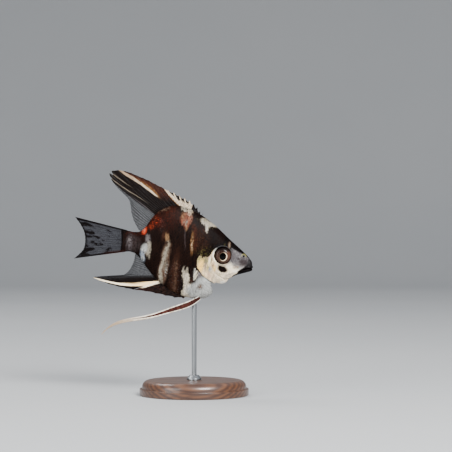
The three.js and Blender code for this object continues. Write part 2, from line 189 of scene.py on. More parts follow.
class Value:
    # a node's output socket that adds, multiplies and so on like a number
    def __init__(self, paint, socket):
        self.paint, self.socket = paint, socket

    def __add__(self, other):
        return self.paint.maths("ADD", self, other)

    def __sub__(self, other):
        return self.paint.maths("SUBTRACT", self, other)

    def __rsub__(self, other):
        return self.paint.maths("SUBTRACT", other, self)

    def __mul__(self, other):
        return self.paint.maths("MULTIPLY", self, other)

    def __truediv__(self, other):
        return self.paint.maths("DIVIDE", self, other)

    def __rtruediv__(self, other):
        return self.paint.maths("DIVIDE", other, self)

    def __pow__(self, other):
        return self.paint.maths("POWER", self, other)

    def __neg__(self):
        return self.paint.maths("MULTIPLY", self, -1.0)

    def __abs__(self):
        return self.paint.maths("ABSOLUTE", self)

    __radd__ = __add__
    __rmul__ = __mul__

    def other(self, output):
        # another output of the same node
        return Value(self.paint, self.socket.node.outputs[output])


class Paint:
    # one material: a Principled shader, the nodes that feed it, and the colour laid on so far
    def __init__(self, name):
        self.material = bpy.data.materials.new(name)
        self.material.use_nodes = True
        self.nodes, self.links = self.material.node_tree.nodes, self.material.node_tree.links
        self.nodes.clear()
        self.colour = None
        self.shader = self.nodes.new("ShaderNodeBsdfPrincipled")
        output = self.nodes.new("ShaderNodeOutputMaterial")
        self.links.new(self.shader.outputs[0], output.inputs["Surface"])

    def join(self, value, socket):
        if isinstance(value, Value):
            self.links.new(value.socket, socket)
        else:
            socket.default_value = value

    def node(self, kind, settings=None, sockets=None, output=0):
        made = self.nodes.new("ShaderNode" + kind)
        for key, value in (settings or {}).items():
            if key == "stops":
                ramp = made.color_ramp
                while len(ramp.elements) < len(value):
                    ramp.elements.new(1.0)
                for element, (place, colour) in zip(ramp.elements, value):
                    element.position, element.color = place, colour
            else:
                setattr(made, key, value)
        for key, value in (sockets or {}).items():
            self.join(value, made.inputs[key])
        return Value(self, made.outputs[output])

    def maths(self, operation, *values):
        return self.node("Math", {"operation": operation}, dict(enumerate(values)))

    def axes(self, vector):
        parts = self.node("SeparateXYZ", None, {0: vector})
        return [parts.other(k) for k in range(3)]

    def ground(self, share, first, second):
        sockets = {0: share, 6: tints[first], 7: tints[second]}
        self.colour = self.node("Mix", {"data_type": "RGBA"}, sockets, output=2)

    def cover(self, share, name):
        sockets = {0: share, 6: self.colour, 7: tints[name]}
        self.colour = self.node("Mix", {"data_type": "RGBA"}, sockets, output=2)

    def finish(self, **sockets):
        # socket names with their spaces left out
        sockets["BaseColor"] = self.colour
        for socket in self.shader.inputs:
            if socket.name.replace(" ", "") in sockets:
                self.join(sockets[socket.name.replace(" ", "")], socket)

    def grain(self, place, scale, stretch=(1, 1, 1), detail=3.0):
        # noise about 0, mostly between -1 and 1
        spread = self.node("VectorMath", {"operation": "MULTIPLY"}, {0: place, 1: stretch})
        sockets = {"Vector": spread, "Scale": scale, "Detail": detail}
        return (self.node("TexNoise", None, sockets) - 0.5) * 3.5

    def bump(self, height, distance, strength=1.0):
        sockets = {"Height": height, "Distance": distance, "Strength": strength}
        return self.node("Bump", None, sockets)


def tint(code):
    # a web colour as linear red, green, blue and 1
    parts = [int(code[i:i + 2], 16) / 255 for i in (1, 3, 5)]
    return tuple(p / 12.92 if p <= 0.04045 else ((p + 0.055) / 1.055) ** 2.4 for p in parts) + (1,)


def most(first, second):
    return first.paint.maths("MAXIMUM", first, second)


def soft(value, width, offset=0.0):
    # 0 to 1 as value + offset goes from -width to width
    sockets = {"Value": value, "From Min": -width - offset, "From Max": width - offset}
    return value.paint.node("MapRange", {"interpolation_type": "SMOOTHSTEP"}, sockets)


def profile(x, points):
    # the broken line through points (x, one to three values), held past its ends
    low, high = points[0][0], points[-1][0]
    values = np.array([p[1:] for p in points], float)
    floor, reach = values.min(0), np.maximum(np.ptp(values, axis=0), 1e-6)
    shares = np.pad((values - floor) / reach, ((0, 0), (0, 3 - values.shape[1])))
    stops = [((p[0] - low) / (high - low), (*share, 1)) for p, share in zip(points, shares)]
    place = x.paint.node("MapRange", None, {"Value": x, "From Min": low, "From Max": high})
    ramp = x.paint.node("ValToRGB", {"stops": stops}, {"Fac": place})
    parts = x.paint.node("SeparateColor", None, {"Color": ramp})
    outputs = [x.paint.maths("MULTIPLY_ADD", parts.other(k), float(reach[k]), float(floor[k]))
               for k in range(values.shape[1])]
    return outputs if len(outputs) > 1 else outputs[0]


def stripe(across, along, points, width):
    # a band whose points are (along, middle, half width, strength)
    middle, half, strength = profile(along, points)
    return soft(half - abs(across - middle), width) * strength


def spot(place, middle, size, turn, width):
    # An ellipse in the side view, place being (u, w, 1): a and b are the offsets from its middle
    # along its own axes, over its half sizes. It fades out as (a^2 + b^2)^0.5 passes 1.
    c, s = math.cos(math.radians(turn)), math.sin(math.radians(turn))
    first = np.array((c, s, -c * middle[0] - s * middle[1])) / size[0]
    second = np.array((-s, c, s * middle[0] - c * middle[1])) / size[1]
    dot = {"operation": "DOT_PRODUCT"}
    a, b = (place.paint.node("VectorMath", dot, {0: place, 1: axis}, output="Value")
            for axis in (first, second))
    length = place.paint.maths("MULTIPLY_ADD", b, b, a * a) ** 0.5
    sockets = {"Value": length, "From Min": 1 + width / min(size), "From Max": 1 - width / min(size)}
    return place.paint.node("MapRange", {"interpolation_type": "SMOOTHSTEP"}, sockets)


body = {
    "back": [
        (22.45, 0.6), (20.8, 2.15), (17.0, 4.6), (13.3, 6.8), (9.8, 9.05), (6.9, 10.65), (3.6, 12.2),
        (-0.3, 13.5), (-4.4, 14.15), (-8.2, 13.1), (-11.4, 10.5), (-13.6, 6.4), (-16.0, 2.95),
        (-21.4, 2.75),
    ],
    "belly": [
        (23.1, -1.65), (21.8, -3.2), (17.6, -5.3), (14.7, -8.3), (11.7, -8.8), (11.1, -12.6), (8.4, -14.8),
        (3.9, -15.2), (-0.8, -14.4), (-5.4, -12.45), (-9.6, -9.7), (-13.2, -6.5), (-16.4, -4.35),
        (-20.2, -4.75),
    ],
    "half": [0.9, 1.55, 2.4, 3.2, 3.8, 3.95, 3.9, 3.75, 3.45, 3.0, 2.4, 1.8, 1.35, 0.75],
    "upperFullness": (0.95, 1.3),  # the power of the section's width, from the breast to the tail
    "lowerFullness": (0.9, 1.15),
    "swing": 0.003,
    "swingFrom": -10,
    "lipRounding": 0.07,
    "tailRounding": 0.06,
    "inset": 0.13,  # how deep the skin lies under the scales
    "columns": 336,
    "rings": 290,
}
backLine, bellyLine = smoothCurve(body["back"]), smoothCurve(body["belly"])
halfWidth = smoothCurve([[h] for h in body["half"]])

eye = {"u": 12.55, "w": 0.75, "radius": 2.75, "depth": 1.6, "centre": 1.95, "squareness": 2.6,
       "rim": 3.12, "grid": (70, 96)}
nostril = (19.4, 1.8)

# lines of the head and body in the side view (u, w)
lines = {
    "shoulder": [
        (9.2, 14), (7.4, 9.4), (5.4, 4.4), (4.55, -0.8), (5.1, -4.6), (7.9, -7.3), (12.0, -9.05),
        (16.5, -10.4),
    ],
    "mouth": [(23.5, -1.42), (22.9, -1.62), (22.2, -1.84), (21.4, -2.07), (20.4, -2.5), (19.3, -3.05)],
    "upperLip": [(21.7, 1.6), (21.5, 0.6), (21.1, -0.6), (20.2, -1.8), (19.1, -2.8)],
    "lowerLip": [(22.3, -3.1), (21.1, -3.2), (19.9, -3.8), (18.9, -4.0)],
    "maxilla": [(20.3, 0.9), (20.0, -0.6), (19.3, -2.4)],
    "cheekEdge": [(8.9, 2.9), (8.7, 0.6), (9.2, -1.9), (10.6, -4.3), (12.7, -6.1), (15.0, -6.6),
                  (16.8, -5.9)],
    "coverSeam": [(5.4, -4.3), (7.4, -5.2), (9.6, -5.5), (11.4, -5.7)],
    "throat": [(8.6, -8.1), (11.0, -8.5), (13.4, -7.9), (15.4, -6.9), (17.6, -5.6)],
    "underEye": [(9.6, -1.4), (11.2, -3.2), (13.4, -3.4), (15.6, -2.3), (18.2, -1.6)],
    "lateralLine": [(5.9, 5.4), (2.0, 8.2), (-3.0, 9.4), (-8.0, 8.1), (-11.8, 4.6)],
    "stemLine": [(-12.0, -0.4), (-16.0, -0.7), (-20.6, -0.9)],
}


def bend(u):
    # the rear swings to the fish's left, by the square of the way past swingFrom
    return body["swing"] * np.minimum(0, u - body["swingFrom"]) ** 2


def roundedEnd(t, share):
    # a quarter ellipse over the first share of the way
    return np.sqrt(1 - (1 - np.minimum(t / share, 1)) ** 2)


def bodyPoint(t, angle, inset=body["inset"]):
    # A section runs from the back line to the belly line, (1 - cos angle) / 2 of the way, and its
    # half width there is half(t) |sin angle|^power. Both are drawn in by the inset.
    t, angle = np.broadcast_arrays(np.asarray(t, float), np.asarray(angle, float))
    top = backLine(t)
    span = bellyLine(t) - top
    down = (1 - np.cos(angle)) / 2
    share = down + (1 - 2 * down) * inset / np.linalg.norm(span, axis=-1)
    place = top + span * share[..., None]
    u, w = place[..., 0], place[..., 1]
    upper = between(*body["upperFullness"], ease(t, 0.25, 0.6))
    lower = between(*body["lowerFullness"], ease(t, 0.45, 0.7))
    side = np.sign(np.sin(angle)) * np.abs(np.sin(angle)) ** between(upper, lower, down)
    ends = roundedEnd(t, body["lipRounding"]) * roundedEnd(1 - t, body["tailRounding"])
    y = bend(u) - (halfWidth(t)[..., 0] - inset) * ends * side
    breast = ease(u, 7.5, 10.5) * (0.55 * bell(w + 12.3, 0.9) - 0.75 * bell(w + 9.7, 0.75))
    return np.stack([u + breast, y, w], -1)


def relief(u, w):
    # how far the flesh stands out of the plain body at a point of the side view, in mm
    def line(name):
        return nearCurve(u, w, lines[name])

    def gapTo(name):
        return line(name)[0]

    r = np.hypot(u - eye["u"], w - eye["w"])
    above = ease(w - eye["w"], -0.5, 2.2)
    out = (0.1 + 0.12 * above) * bell(r - eye["rim"], 0.3)
    out -= 1.25 * (1 - ease(r, 2.66, 2.86))

    hole = np.hypot((u - nostril[0]) / 1.15, w - nostril[1])
    out += 0.1 * bell(hole - 0.5, 0.17) - 0.3 * bell(hole, 0.27)

    gap, along, _ = line("mouth")
    fade = 1 - ease(along, 0.82, 1.0)
    out += fade * (0.17 * bell(gap - 0.5, 0.3) - 0.42 * bell(gap, 0.13))
    out -= 0.09 * bell(gapTo("upperLip"), 0.16)
    out -= 0.07 * bell(gapTo("lowerLip"), 0.17)
    out += 0.09 * bell(gapTo("maxilla"), 0.42)
    gap = gapTo("underEye")
    out -= 0.05 * bell(gap, 0.2) - 0.05 * bell(gap - 0.6, 0.4)

    gap, _, side = line("cheekEdge")
    out += np.where(side < 0, -0.13, 0.05) * bell(gap, 0.5) - 0.07 * bell(gap, 0.15)
    out -= 0.06 * bell(gapTo("coverSeam"), 0.16)
    out -= 0.1 * bell(gapTo("throat"), 0.2)

    # the gill cover swells towards its free edge and drops behind it
    gap, along, side = line("shoulder")
    slit = ease(along, 0.2, 0.36) * (1 - 0.6 * ease(along, 0.86, 1.0))
    cover = 0.3 * bell(gap, 1.6) * ease(gap, -0.02, 0.16)
    behind = -0.16 * bell(gap, 0.45)
    out += slit * np.where(side > 0, cover, behind)

    out += 0.3 * bell((u - 4.85) / 0.6, 1) * bell((w + 7.25) / 1.9, 1)  # pectoral base
    out -= 0.18 * bell((u - 16.3) / 0.9, 1) * bell((w + 6.9) / 0.8, 1)  # under the chin
    out += 0.14 * bell((u - 20.3) / 1.6, 1) * bell((w + 4.2) / 0.6, 1)  # lower jaw
    for name in ("lateralLine", "stemLine"):
        out += 0.05 * bell(gapTo(name), 0.16)
    return out


def skinPoint(t, angle, lift=0.0):
    # the body moved along its own normal by the relief and by lift
    d = 2e-3
    at = bodyPoint(t, angle)
    ahead = bodyPoint(np.minimum(t + d, 1), angle) - bodyPoint(np.maximum(t - d, 0), angle)
    normal = unit(np.cross(ahead, bodyPoint(t, angle + d) - bodyPoint(t, angle - d)))
    return at + normal * (relief(at[..., 0], at[..., 2]) + lift)[..., None]


colours = {
    "bar": "#050202", "barLight": "#0d0604", "ink": "#020101", "smoke": "#1a1818", "dusk": "#292222",
    "grey": "#333233", "ash": "#66605f", "lilac": "#474244", "mahogany": "#1e0804", "russet": "#34170c",
    "rust": "#301b12", "brown": "#574133", "olive": "#3a361a", "tan": "#70502e", "camel": "#74583d",
    "gold": "#664627", "stripe": "#6f6557", "sand": "#a48f77", "cream": "#968d7c", "ivory": "#ffecca",
    "pearl": "#fdf8ea", "silver": "#a5a6a2", "blueSilver": "#858f9b", "lime": "#8a834c",
    "yellow": "#ffce6e", "pink": "#cfab9b", "salmon": "#74402e", "ember": "#702512", "chalk": "#dccfb6",
    "orange": "#bb391c", "coral": "#d26444", "filmDorsal": "#303032", "filmAnal": "#29292b",
    "tailDark": "#242429", "tailPale": "#36373b", "pelvicDark": "#290d0a", "pelvicRed": "#47251d",
    "irisDark": "#150c0a", "irisBrown": "#43322a", "irisWarm": "#4d3329", "irisTop": "#0a0606",
    "irisRim": "#0c0605", "pupilRim": "#2a1610", "irisRing": "#f2dcb8", "pupil": "#010101",
    "wood": "#3a2115", "woodPale": "#5c3a24", "woodGrain": "#25130b", "steel": "#8f9294",
    "floor": "#a4a6a7", "floorPale": "#a9aaaa",
}
tints = {name: tint(code) for name, code in colours.items()}


def oval(name, at, size, edge, turn=0, **looks):
    return {"tint": name, "at": at, "size": size, "soft": edge, "turn": turn, **looks}


def ribbon(name, edge, *points, **looks):
    return {"tint": name, "soft": edge, "points": points, **looks}


# Painted in this order, with the width of the edge in mm after an oval's middle and half sizes and
# before a ribbon's points (w, middle u, half width, strength). crumbs and specks say how broken a
# mark is, coarsely or finely, shine how silvery it is, and strength how far it covers.
marks = [
    # the back above the tail stem
    oval("mahogany", (-8.2, 9.4), (4.8, 4.6), 1.6, turn=20, crumbs=0.5),
    oval("russet", (-6.6, 11.2), (2.6, 2.2), 1.3, specks=0.75),
    oval("ember", (-9.4, 8.8), (3.4, 2.2), 1.2, turn=35, specks=0.95),
    oval("ember", (-11.4, 7.1), (1.9, 1.8), 1.2, turn=20, specks=0.75),
    oval("orange", (-11.3, 7.3), (1.3, 1.1), 0.9, turn=20, specks=0.95),
    oval("salmon", (-11.9, 8.0), (0.5, 0.7), 0.5, turn=20, specks=0.8),
    oval("ember", (-12.5, 5.3), (0.9, 0.8), 0.6, turn=30, specks=0.6),
    oval("orange", (-14.4, 3.65), (0.75, 1.15), 0.45, crumbs=0.1),
    oval("coral", (-14.45, 3.8), (0.45, 0.75), 0.35),
    oval("sand", (-9.4, 11.6), (1.6, 0.5), 0.4, turn=30, specks=0.85),
    oval("ash", (-9.0, 6.8), (0.7, 2.2), 0.7, turn=10, specks=1.0),

    # the tail stem
    oval("mahogany", (-17.6, 1.4), (4.2, 1.6), 0.8, turn=3, crumbs=0.7),
    oval("ember", (-16.8, 2.2), (2.6, 0.6), 0.4, turn=3, specks=1.0),
    oval("dusk", (-17.2, -1.4), (2.4, 2.6), 0.9, turn=8, crumbs=0.45, shine=0.3),
    oval("lilac", (-18.4, -1.5), (0.8, 2.2), 0.7, turn=8, crumbs=0.5, shine=0.4),
    oval("ash", (-18.7, -0.7), (0.4, 0.9), 0.5, turn=8, crumbs=0.5, shine=0.5),

    # the silver band before the tail stem
    ribbon("ash", 0.5, (-0.9, -12.2, 0.5, 0), (0.0, -12.2, 0.65, 0.9), (1.15, -12.6, 0.7, 0.9),
           (2.3, -12.9, 0.5, 0.8), (3.0, -13.0, 0.3, 0), crumbs=0.35, shine=0.6),
    oval("stripe", (-12.3, -2.2), (1.1, 1.9), 0.6, crumbs=0.45, shine=0.8),
    oval("silver", (-13.15, -2.2), (1.0, 1.6), 0.6, crumbs=0.3, shine=1),
    ribbon("cream", 0.35, (-5.6, -11.1, 0.2, 0), (-4.7, -11.25, 0.35, 0.7), (-3.0, -11.45, 0.45, 0.9),
           (-1.4, -11.6, 0.5, 0.9), (0.0, -12.0, 0.45, 0.8), (0.8, -12.2, 0.3, 0), crumbs=0.35,
           shine=0.8),
    oval("blueSilver", (-13.35, -4.9), (0.7, 1.7), 0.45, turn=22, crumbs=0.25, shine=1),
    oval("silver", (-13.2, -5.4), (0.4, 0.8), 0.4, turn=22, crumbs=0.2, shine=1),

    # the long cream band of the flank, split in two below
    oval("rust", (-7.3, 3.5), (1.0, 1.5), 0.6, crumbs=0.3),
    ribbon("brown", 0.6, (-13.4, -5.6, 0.6, 0.6), (-12.1, -5.6, 1.0, 0.9), (-9.9, -5.7, 1.35, 0.9),
           (-7.6, -5.7, 1.5, 0.9), (-4.9, -5.7, 1.35, 0.9), (-1.9, -5.9, 1.2, 0.8), (0.8, -5.7, 0.9, 0.7),
           (2.0, -6.0, 0.7, 0), crumbs=0.3, shine=0.4),
    ribbon("stripe", 0.4, (-8.6, -4.7, 0.3, 0), (-7.6, -5.0, 0.6, 0.8), (-4.9, -5.6, 0.75, 0.9),
           (-3.3, -5.95, 0.85, 1), (-1.9, -6.0, 0.85, 1), (-0.4, -5.85, 0.7, 1), (0.8, -5.75, 0.55, 1),
           (1.9, -6.0, 0.5, 0.9), (2.8, -6.4, 0.3, 0), crumbs=0.4, shine=0.7),
    ribbon("cream", 0.35, (-13.2, -5.4, 0.4, 0), (-12.2, -5.6, 0.6, 0.95), (-9.9, -6.35, 0.6, 0.95),
           (-7.6, -6.5, 0.45, 0.9), (-4.9, -6.35, 0.45, 0.9), (-2.0, -6.1, 0.35, 0.8),
           (0.0, -5.9, 0.3, 0.6), (1.0, -5.8, 0.2, 0), crumbs=0.35, shine=0.8),
    oval("silver", (-4.7, -7.9), (0.5, 1.9), 0.4, turn=5, specks=0.85, shine=0.9),
    ribbon("camel", 0.45, (1.4, -6.1, 0.4, 0), (2.3, -6.35, 0.6, 0.9), (3.1, -6.7, 0.65, 1),
           (3.9, -6.9, 0.5, 0.8), (4.6, -7.0, 0.3, 0), crumbs=0.25, shine=0.5),
    oval("camel", (-6.55, 2.9), (0.55, 0.8), 0.4, crumbs=0.1, shine=0.5),

    # the brown column and the thin lines before it
    ribbon("rust", 0.8, (-15, -1.1, 1.9, 1), (-11.8, -1.35, 1.6, 1), (-8.5, -1.8, 1.5, 0.9),
           (-4.9, -2.0, 1.1, 0.7), (-1, -2.3, 0.8, 0.3), (2, -2.3, 0.8, 0), crumbs=0.3),
    ribbon("brown", 0.4, (-15, -0.8, 0.5, 0.5), (-11.8, -1.1, 0.5, 0.6), (-8.5, -1.4, 0.4, 0.5),
           (-4.9, -2.0, 0.4, 0.8), (-2.8, -2.1, 0.2, 0), crumbs=0.4),
    oval("tan", (-1.6, -14.6), (1.6, 0.5), 0.4, turn=-4, specks=0.8),
    ribbon("dusk", 0.22, (-0.2, -0.05, 0.1, 0), (0.7, -0.1, 0.22, 0.8), (2.3, -0.43, 0.28, 0.9),
           (4.4, -0.9, 0.3, 1), (6.2, -1.3, 0.26, 0.9), (7, -1.4, 0.15, 0), crumbs=0.2, shine=0.2),
    ribbon("russet", 0.5, (-0.6, 3.3, 0.4, 0), (1.0, 3.1, 0.6, 0.7), (2.9, 2.75, 0.7, 1),
           (5.8, 2.25, 0.7, 1), (8.5, 1.4, 0.55, 0.9), (9.5, 1.0, 0.3, 0), crumbs=0.5),
    ribbon("gold", 0.3, (-1.7, 2.5, 0.15, 0), (-0.8, 2.42, 0.3, 0.5), (0.4, 2.2, 0.45, 0.9),
           (2.1, 1.95, 0.42, 1), (4.05, 1.65, 0.4, 1), (5.6, 1.45, 0.36, 0.8), (7.2, 1.15, 0.2, 0),
           crumbs=0.3, shine=0.5),
    ribbon("sand", 0.2, (-0.4, 2.35, 0.1, 0), (0.4, 2.25, 0.2, 0.8), (2.1, 2.0, 0.22, 0.8),
           (4.0, 1.65, 0.16, 0.7), (5.4, 1.5, 0.1, 0), crumbs=0.5, shine=0.5),

    # the salmon patch and the cream above it
    oval("salmon", (-1.5, 10.2), (1.85, 2.3), 0.6, crumbs=0.35),
    oval("salmon", (-1.1, 8.2), (0.85, 1.3), 0.5, turn=8, crumbs=0.4),
    oval("camel", (-2.8, 11.0), (0.6, 0.9), 0.5, crumbs=0.5),
    oval("camel", (-0.2, 10.9), (0.45, 1.9), 0.4, turn=6, crumbs=0.8, shine=0.4),
    oval("stripe", (-1.6, 8.7), (0.7, 0.8), 0.5, crumbs=0.6, shine=0.4),
    oval("sand", (-1.4, 10.4), (1.5, 1.8), 0.8, turn=10, specks=0.95),
    oval("camel", (-1.0, 7.3), (0.35, 0.8), 0.3, turn=5, crumbs=0.3, shine=0.3),
    oval("cream", (-1.9, 13.5), (1.9, 1.2), 0.45, turn=-6, crumbs=0.4, shine=0.4),
    oval("sand", (-0.8, 12.3), (0.9, 1.0), 0.5, crumbs=0.55, shine=0.4),
    oval("russet", (-1.5, 10.0), (1.7, 2.8), 0.8, specks=1.0),

    # the patch behind the pectoral fin and the breast
    ribbon("chalk", 0.4, (-15.5, 3.9, 2.3, 1), (-12.9, 3.6, 1.6, 1), (-11.0, 3.2, 1.35, 1),
           (-9.2, 2.4, 1.25, 1), (-7.7, 1.85, 1.1, 1), (-7.0, 1.6, 1.0, 0.8), (-6.5, 1.5, 0.9, 0),
           crumbs=0.25, shine=0.7),
    oval("cream", (0.75, -6.7), (0.32, 1.1), 0.25, turn=5, crumbs=0.2, shine=0.6),
    oval("cream", (1.95, -6.5), (0.42, 1.1), 0.25, crumbs=0.2, shine=0.6),
    oval("chalk", (4.1, -13.2), (2.0, 2.0), 0.6, crumbs=0.3, shine=0.9),
    oval("silver", (7.4, -12.6), (4.6, 2.9), 0.7, turn=4, crumbs=0.12, shine=1),
    oval("silver", (8.6, -9.6), (2.9, 2.6), 0.6, crumbs=0.2, shine=0.8),
    oval("ash", (6.2, -7.0), (0.9, 1.3), 0.6, turn=20, crumbs=0.3, shine=0.5),
    oval("brown", (7.3, -10.9), (0.9, 0.9), 0.6, turn=30, crumbs=0.4),
    oval("grey", (6.8, -11.9), (1.6, 0.7), 0.6, turn=50, crumbs=0.75),
    oval("bar", (4.05, -8.7), (0.75, 1.7), 0.4, turn=-8, crumbs=0.2),
    oval("rust", (4.1, -9.4), (0.6, 1.0), 0.4, turn=-4, crumbs=0.5),
    oval("ink", (4.5, -6.1), (0.5, 1.1), 0.2, turn=-14, crumbs=0.1),
    oval("chalk", (5.0, -7.5), (0.55, 1.6), 0.15, turn=-8, shine=0.4),
    oval("smoke", (5.35, -6.7), (0.16, 0.7), 0.14, turn=-6, shine=0.2),

    # the shoulder and the nape
    oval("rust", (4.6, 4.8), (2.4, 3.8), 0.9, turn=10, specks=0.7),
    oval("tan", (5.8, 3.4), (3.2, 2.4), 0.9, turn=25, specks=1.1),
    oval("olive", (6.4, 0.8), (2.6, 1.6), 0.9, turn=10, crumbs=0.9),
    oval("lime", (6.4, 0.5), (2.4, 1.2), 0.9, turn=10, specks=1.0),
    oval("cream", (5.2, 10.25), (2.2, 1.05), 0.3, turn=-15, crumbs=0.3, shine=0.5),
    oval("cream", (7.2, 9.9), (1.7, 0.65), 0.3, turn=-8, crumbs=0.1, shine=0.5),
    oval("lime", (5.2, 10.0), (2.6, 0.9), 0.5, turn=-15, crumbs=0.95, shine=0.4),
    oval("cream", (5.75, 8.3), (0.42, 1.3), 0.3, turn=8, crumbs=0.3, shine=0.5),
]

# the head's small marks, over its pale ground
headMarks = [
    oval("bar", (7.4, -0.7), (2.2, 0.9), 0.6, specks=0.65),
    oval("olive", (6.7, -1.2), (2.2, 1.3), 0.5, crumbs=0.25, shine=0.3),
    oval("lime", (5.4, -2.3), (0.8, 1.4), 0.4, crumbs=0.2, shine=0.6),
    oval("lime", (6.9, -2.0), (1.9, 1.0), 0.5, crumbs=0.35, shine=0.5),
    oval("pink", (8.3, -0.5), (0.5, 1.0), 0.4, crumbs=0.3, strength=0.7),
    oval("olive", (9.2, -1.4), (0.35, 0.7), 0.3, crumbs=0.2, strength=0.8),
    oval("yellow", (6.2, -4.0), (0.95, 2.1), 0.5, crumbs=0.1, shine=0.8),
    oval("stripe", (7.5, -3.3), (0.7, 2.0), 0.5, crumbs=0.35, shine=0.6, strength=0.8),
    oval("ivory", (8.7, -2.0), (0.3, 1.3), 0.3, crumbs=0.1, shine=0.8),
    oval("lime", (8.6, -3.9), (0.5, 1.3), 0.4, crumbs=0.3, strength=0.8),
    oval("ash", (9.3, -4.6), (0.6, 1.0), 0.5, turn=8, crumbs=0.4, strength=0.6),
    oval("blueSilver", (9.4, -4.5), (0.4, 0.8), 0.4, turn=8, crumbs=0.5, shine=0.9),
    oval("camel", (10.1, -2.9), (0.4, 1.0), 0.4, turn=5, crumbs=0.3, strength=0.8),
    oval("yellow", (10.8, -4.0), (0.4, 0.8), 0.4, turn=10, crumbs=0.2, strength=0.8),
    oval("pink", (9.0, -6.3), (1.2, 0.7), 0.5, turn=-40, crumbs=0.5, strength=0.5),
    oval("lime", (12.6, -5.5), (1.0, 0.4), 0.35, crumbs=0.4, strength=0.6),
    oval("stripe", (14.0, -6.9), (1.5, 0.3), 0.3, turn=20, crumbs=0.5, strength=0.6),
    oval("pearl", (14.3, -8.0), (0.9, 0.5), 0.3, shine=0.9),
    oval("ash", (16.0, -4.9), (1.6, 0.22), 0.25, turn=28, crumbs=0.2, strength=0.7),
    oval("ash", (15.6, -5.7), (1.3, 0.16), 0.2, turn=28, crumbs=0.3, strength=0.6),
    oval("chalk", (15.4, -2.2), (0.7, 0.9), 0.5, crumbs=0.1, shine=0.9),
    oval("ash", (18.5, -1.2), (1.5, 0.9), 0.6, crumbs=0.3, strength=0.8),
    oval("brown", (17.3, -2.25), (0.8, 0.5), 0.4, turn=-10, crumbs=0.4, strength=0.8),
    oval("camel", (18.2, -2.1), (0.35, 0.4), 0.3, crumbs=0.3, strength=0.6),
    oval("pearl", (17.9, -3.5), (0.9, 0.3), 0.25, turn=8, crumbs=0.3, shine=0.8),
    oval("dusk", (19.6, -0.2), (1.4, 1.2), 0.6, turn=20, crumbs=0.2, strength=0.9),
    oval("dusk", (17.9, 0.7), (0.3, 0.3), 0.25, strength=0.8),
    oval("dusk", (13.1, -2.3), (1.1, 0.6), 0.4, crumbs=0.2, strength=0.7),
    oval("ink", (13.4, -3.75), (1.7, 1.05), 0.3, turn=-6),
    oval("ink", (12.4, -3.1), (0.8, 0.5), 0.25, turn=-35),
]

headEdges = {
    "rear": [(-9.4, 12.6), (-8.6, 11.0), (-7.3, 7.9), (-5.8, 6.2), (-4.6, 5.1), (-2.6, 4.7), (-0.8, 4.6),
             (1.5, 5.1), (3, 5.6)],
    "top": [(4.0, -2.8), (4.7, -2.0), (5.1, -1.1), (6.2, -1.6), (7.6, -1.2), (8.5, -0.6), (8.9, 0.7),
            (9.3, 1.5), (9.8, 1.2), (10.4, -1.2), (11.4, -2.2), (12.6, -2.4), (14.0, -2.0), (15.4, -1.7),
            (17.0, -2.3), (18.6, -2.9), (20.6, -3.2)],
    "cap": [(12.0, 4.0), (13.0, 4.3), (14.0, 4.15), (15.6, 3.5), (17.4, 2.9), (18.8, 2.5),
            (20.2, 2.0), (21.0, 1.6)],
    "muzzle": [(-3.4, 18.4), (-2.4, 19.5), (-1.5, 20.4), (-0.8, 20.8), (0.2, 21.0), (1.45, 21.3),
               (2.6, 21.8)],
    "jaw": [(14.5, -7.6), (16.4, -6.1), (17.4, -4.75), (19.4, -3.35), (21.5, -2.2), (23, -1.5)],
}


def fishPlace(paint):
    # Object coordinates turned back into the fish's own frame, in mm
    sockets = {
        "Vector": paint.node("TexCoord", output="Object"),
        "Location": (pose["x"] / 1000, 0, pose["z"] / 1000),
        "Rotation": (0, pose["noseDown"], 0),
        "Scale": (0.001, 0.001, 0.001),
    }
    return paint.node("Mapping", {"vector_type": "TEXTURE"}, sockets)


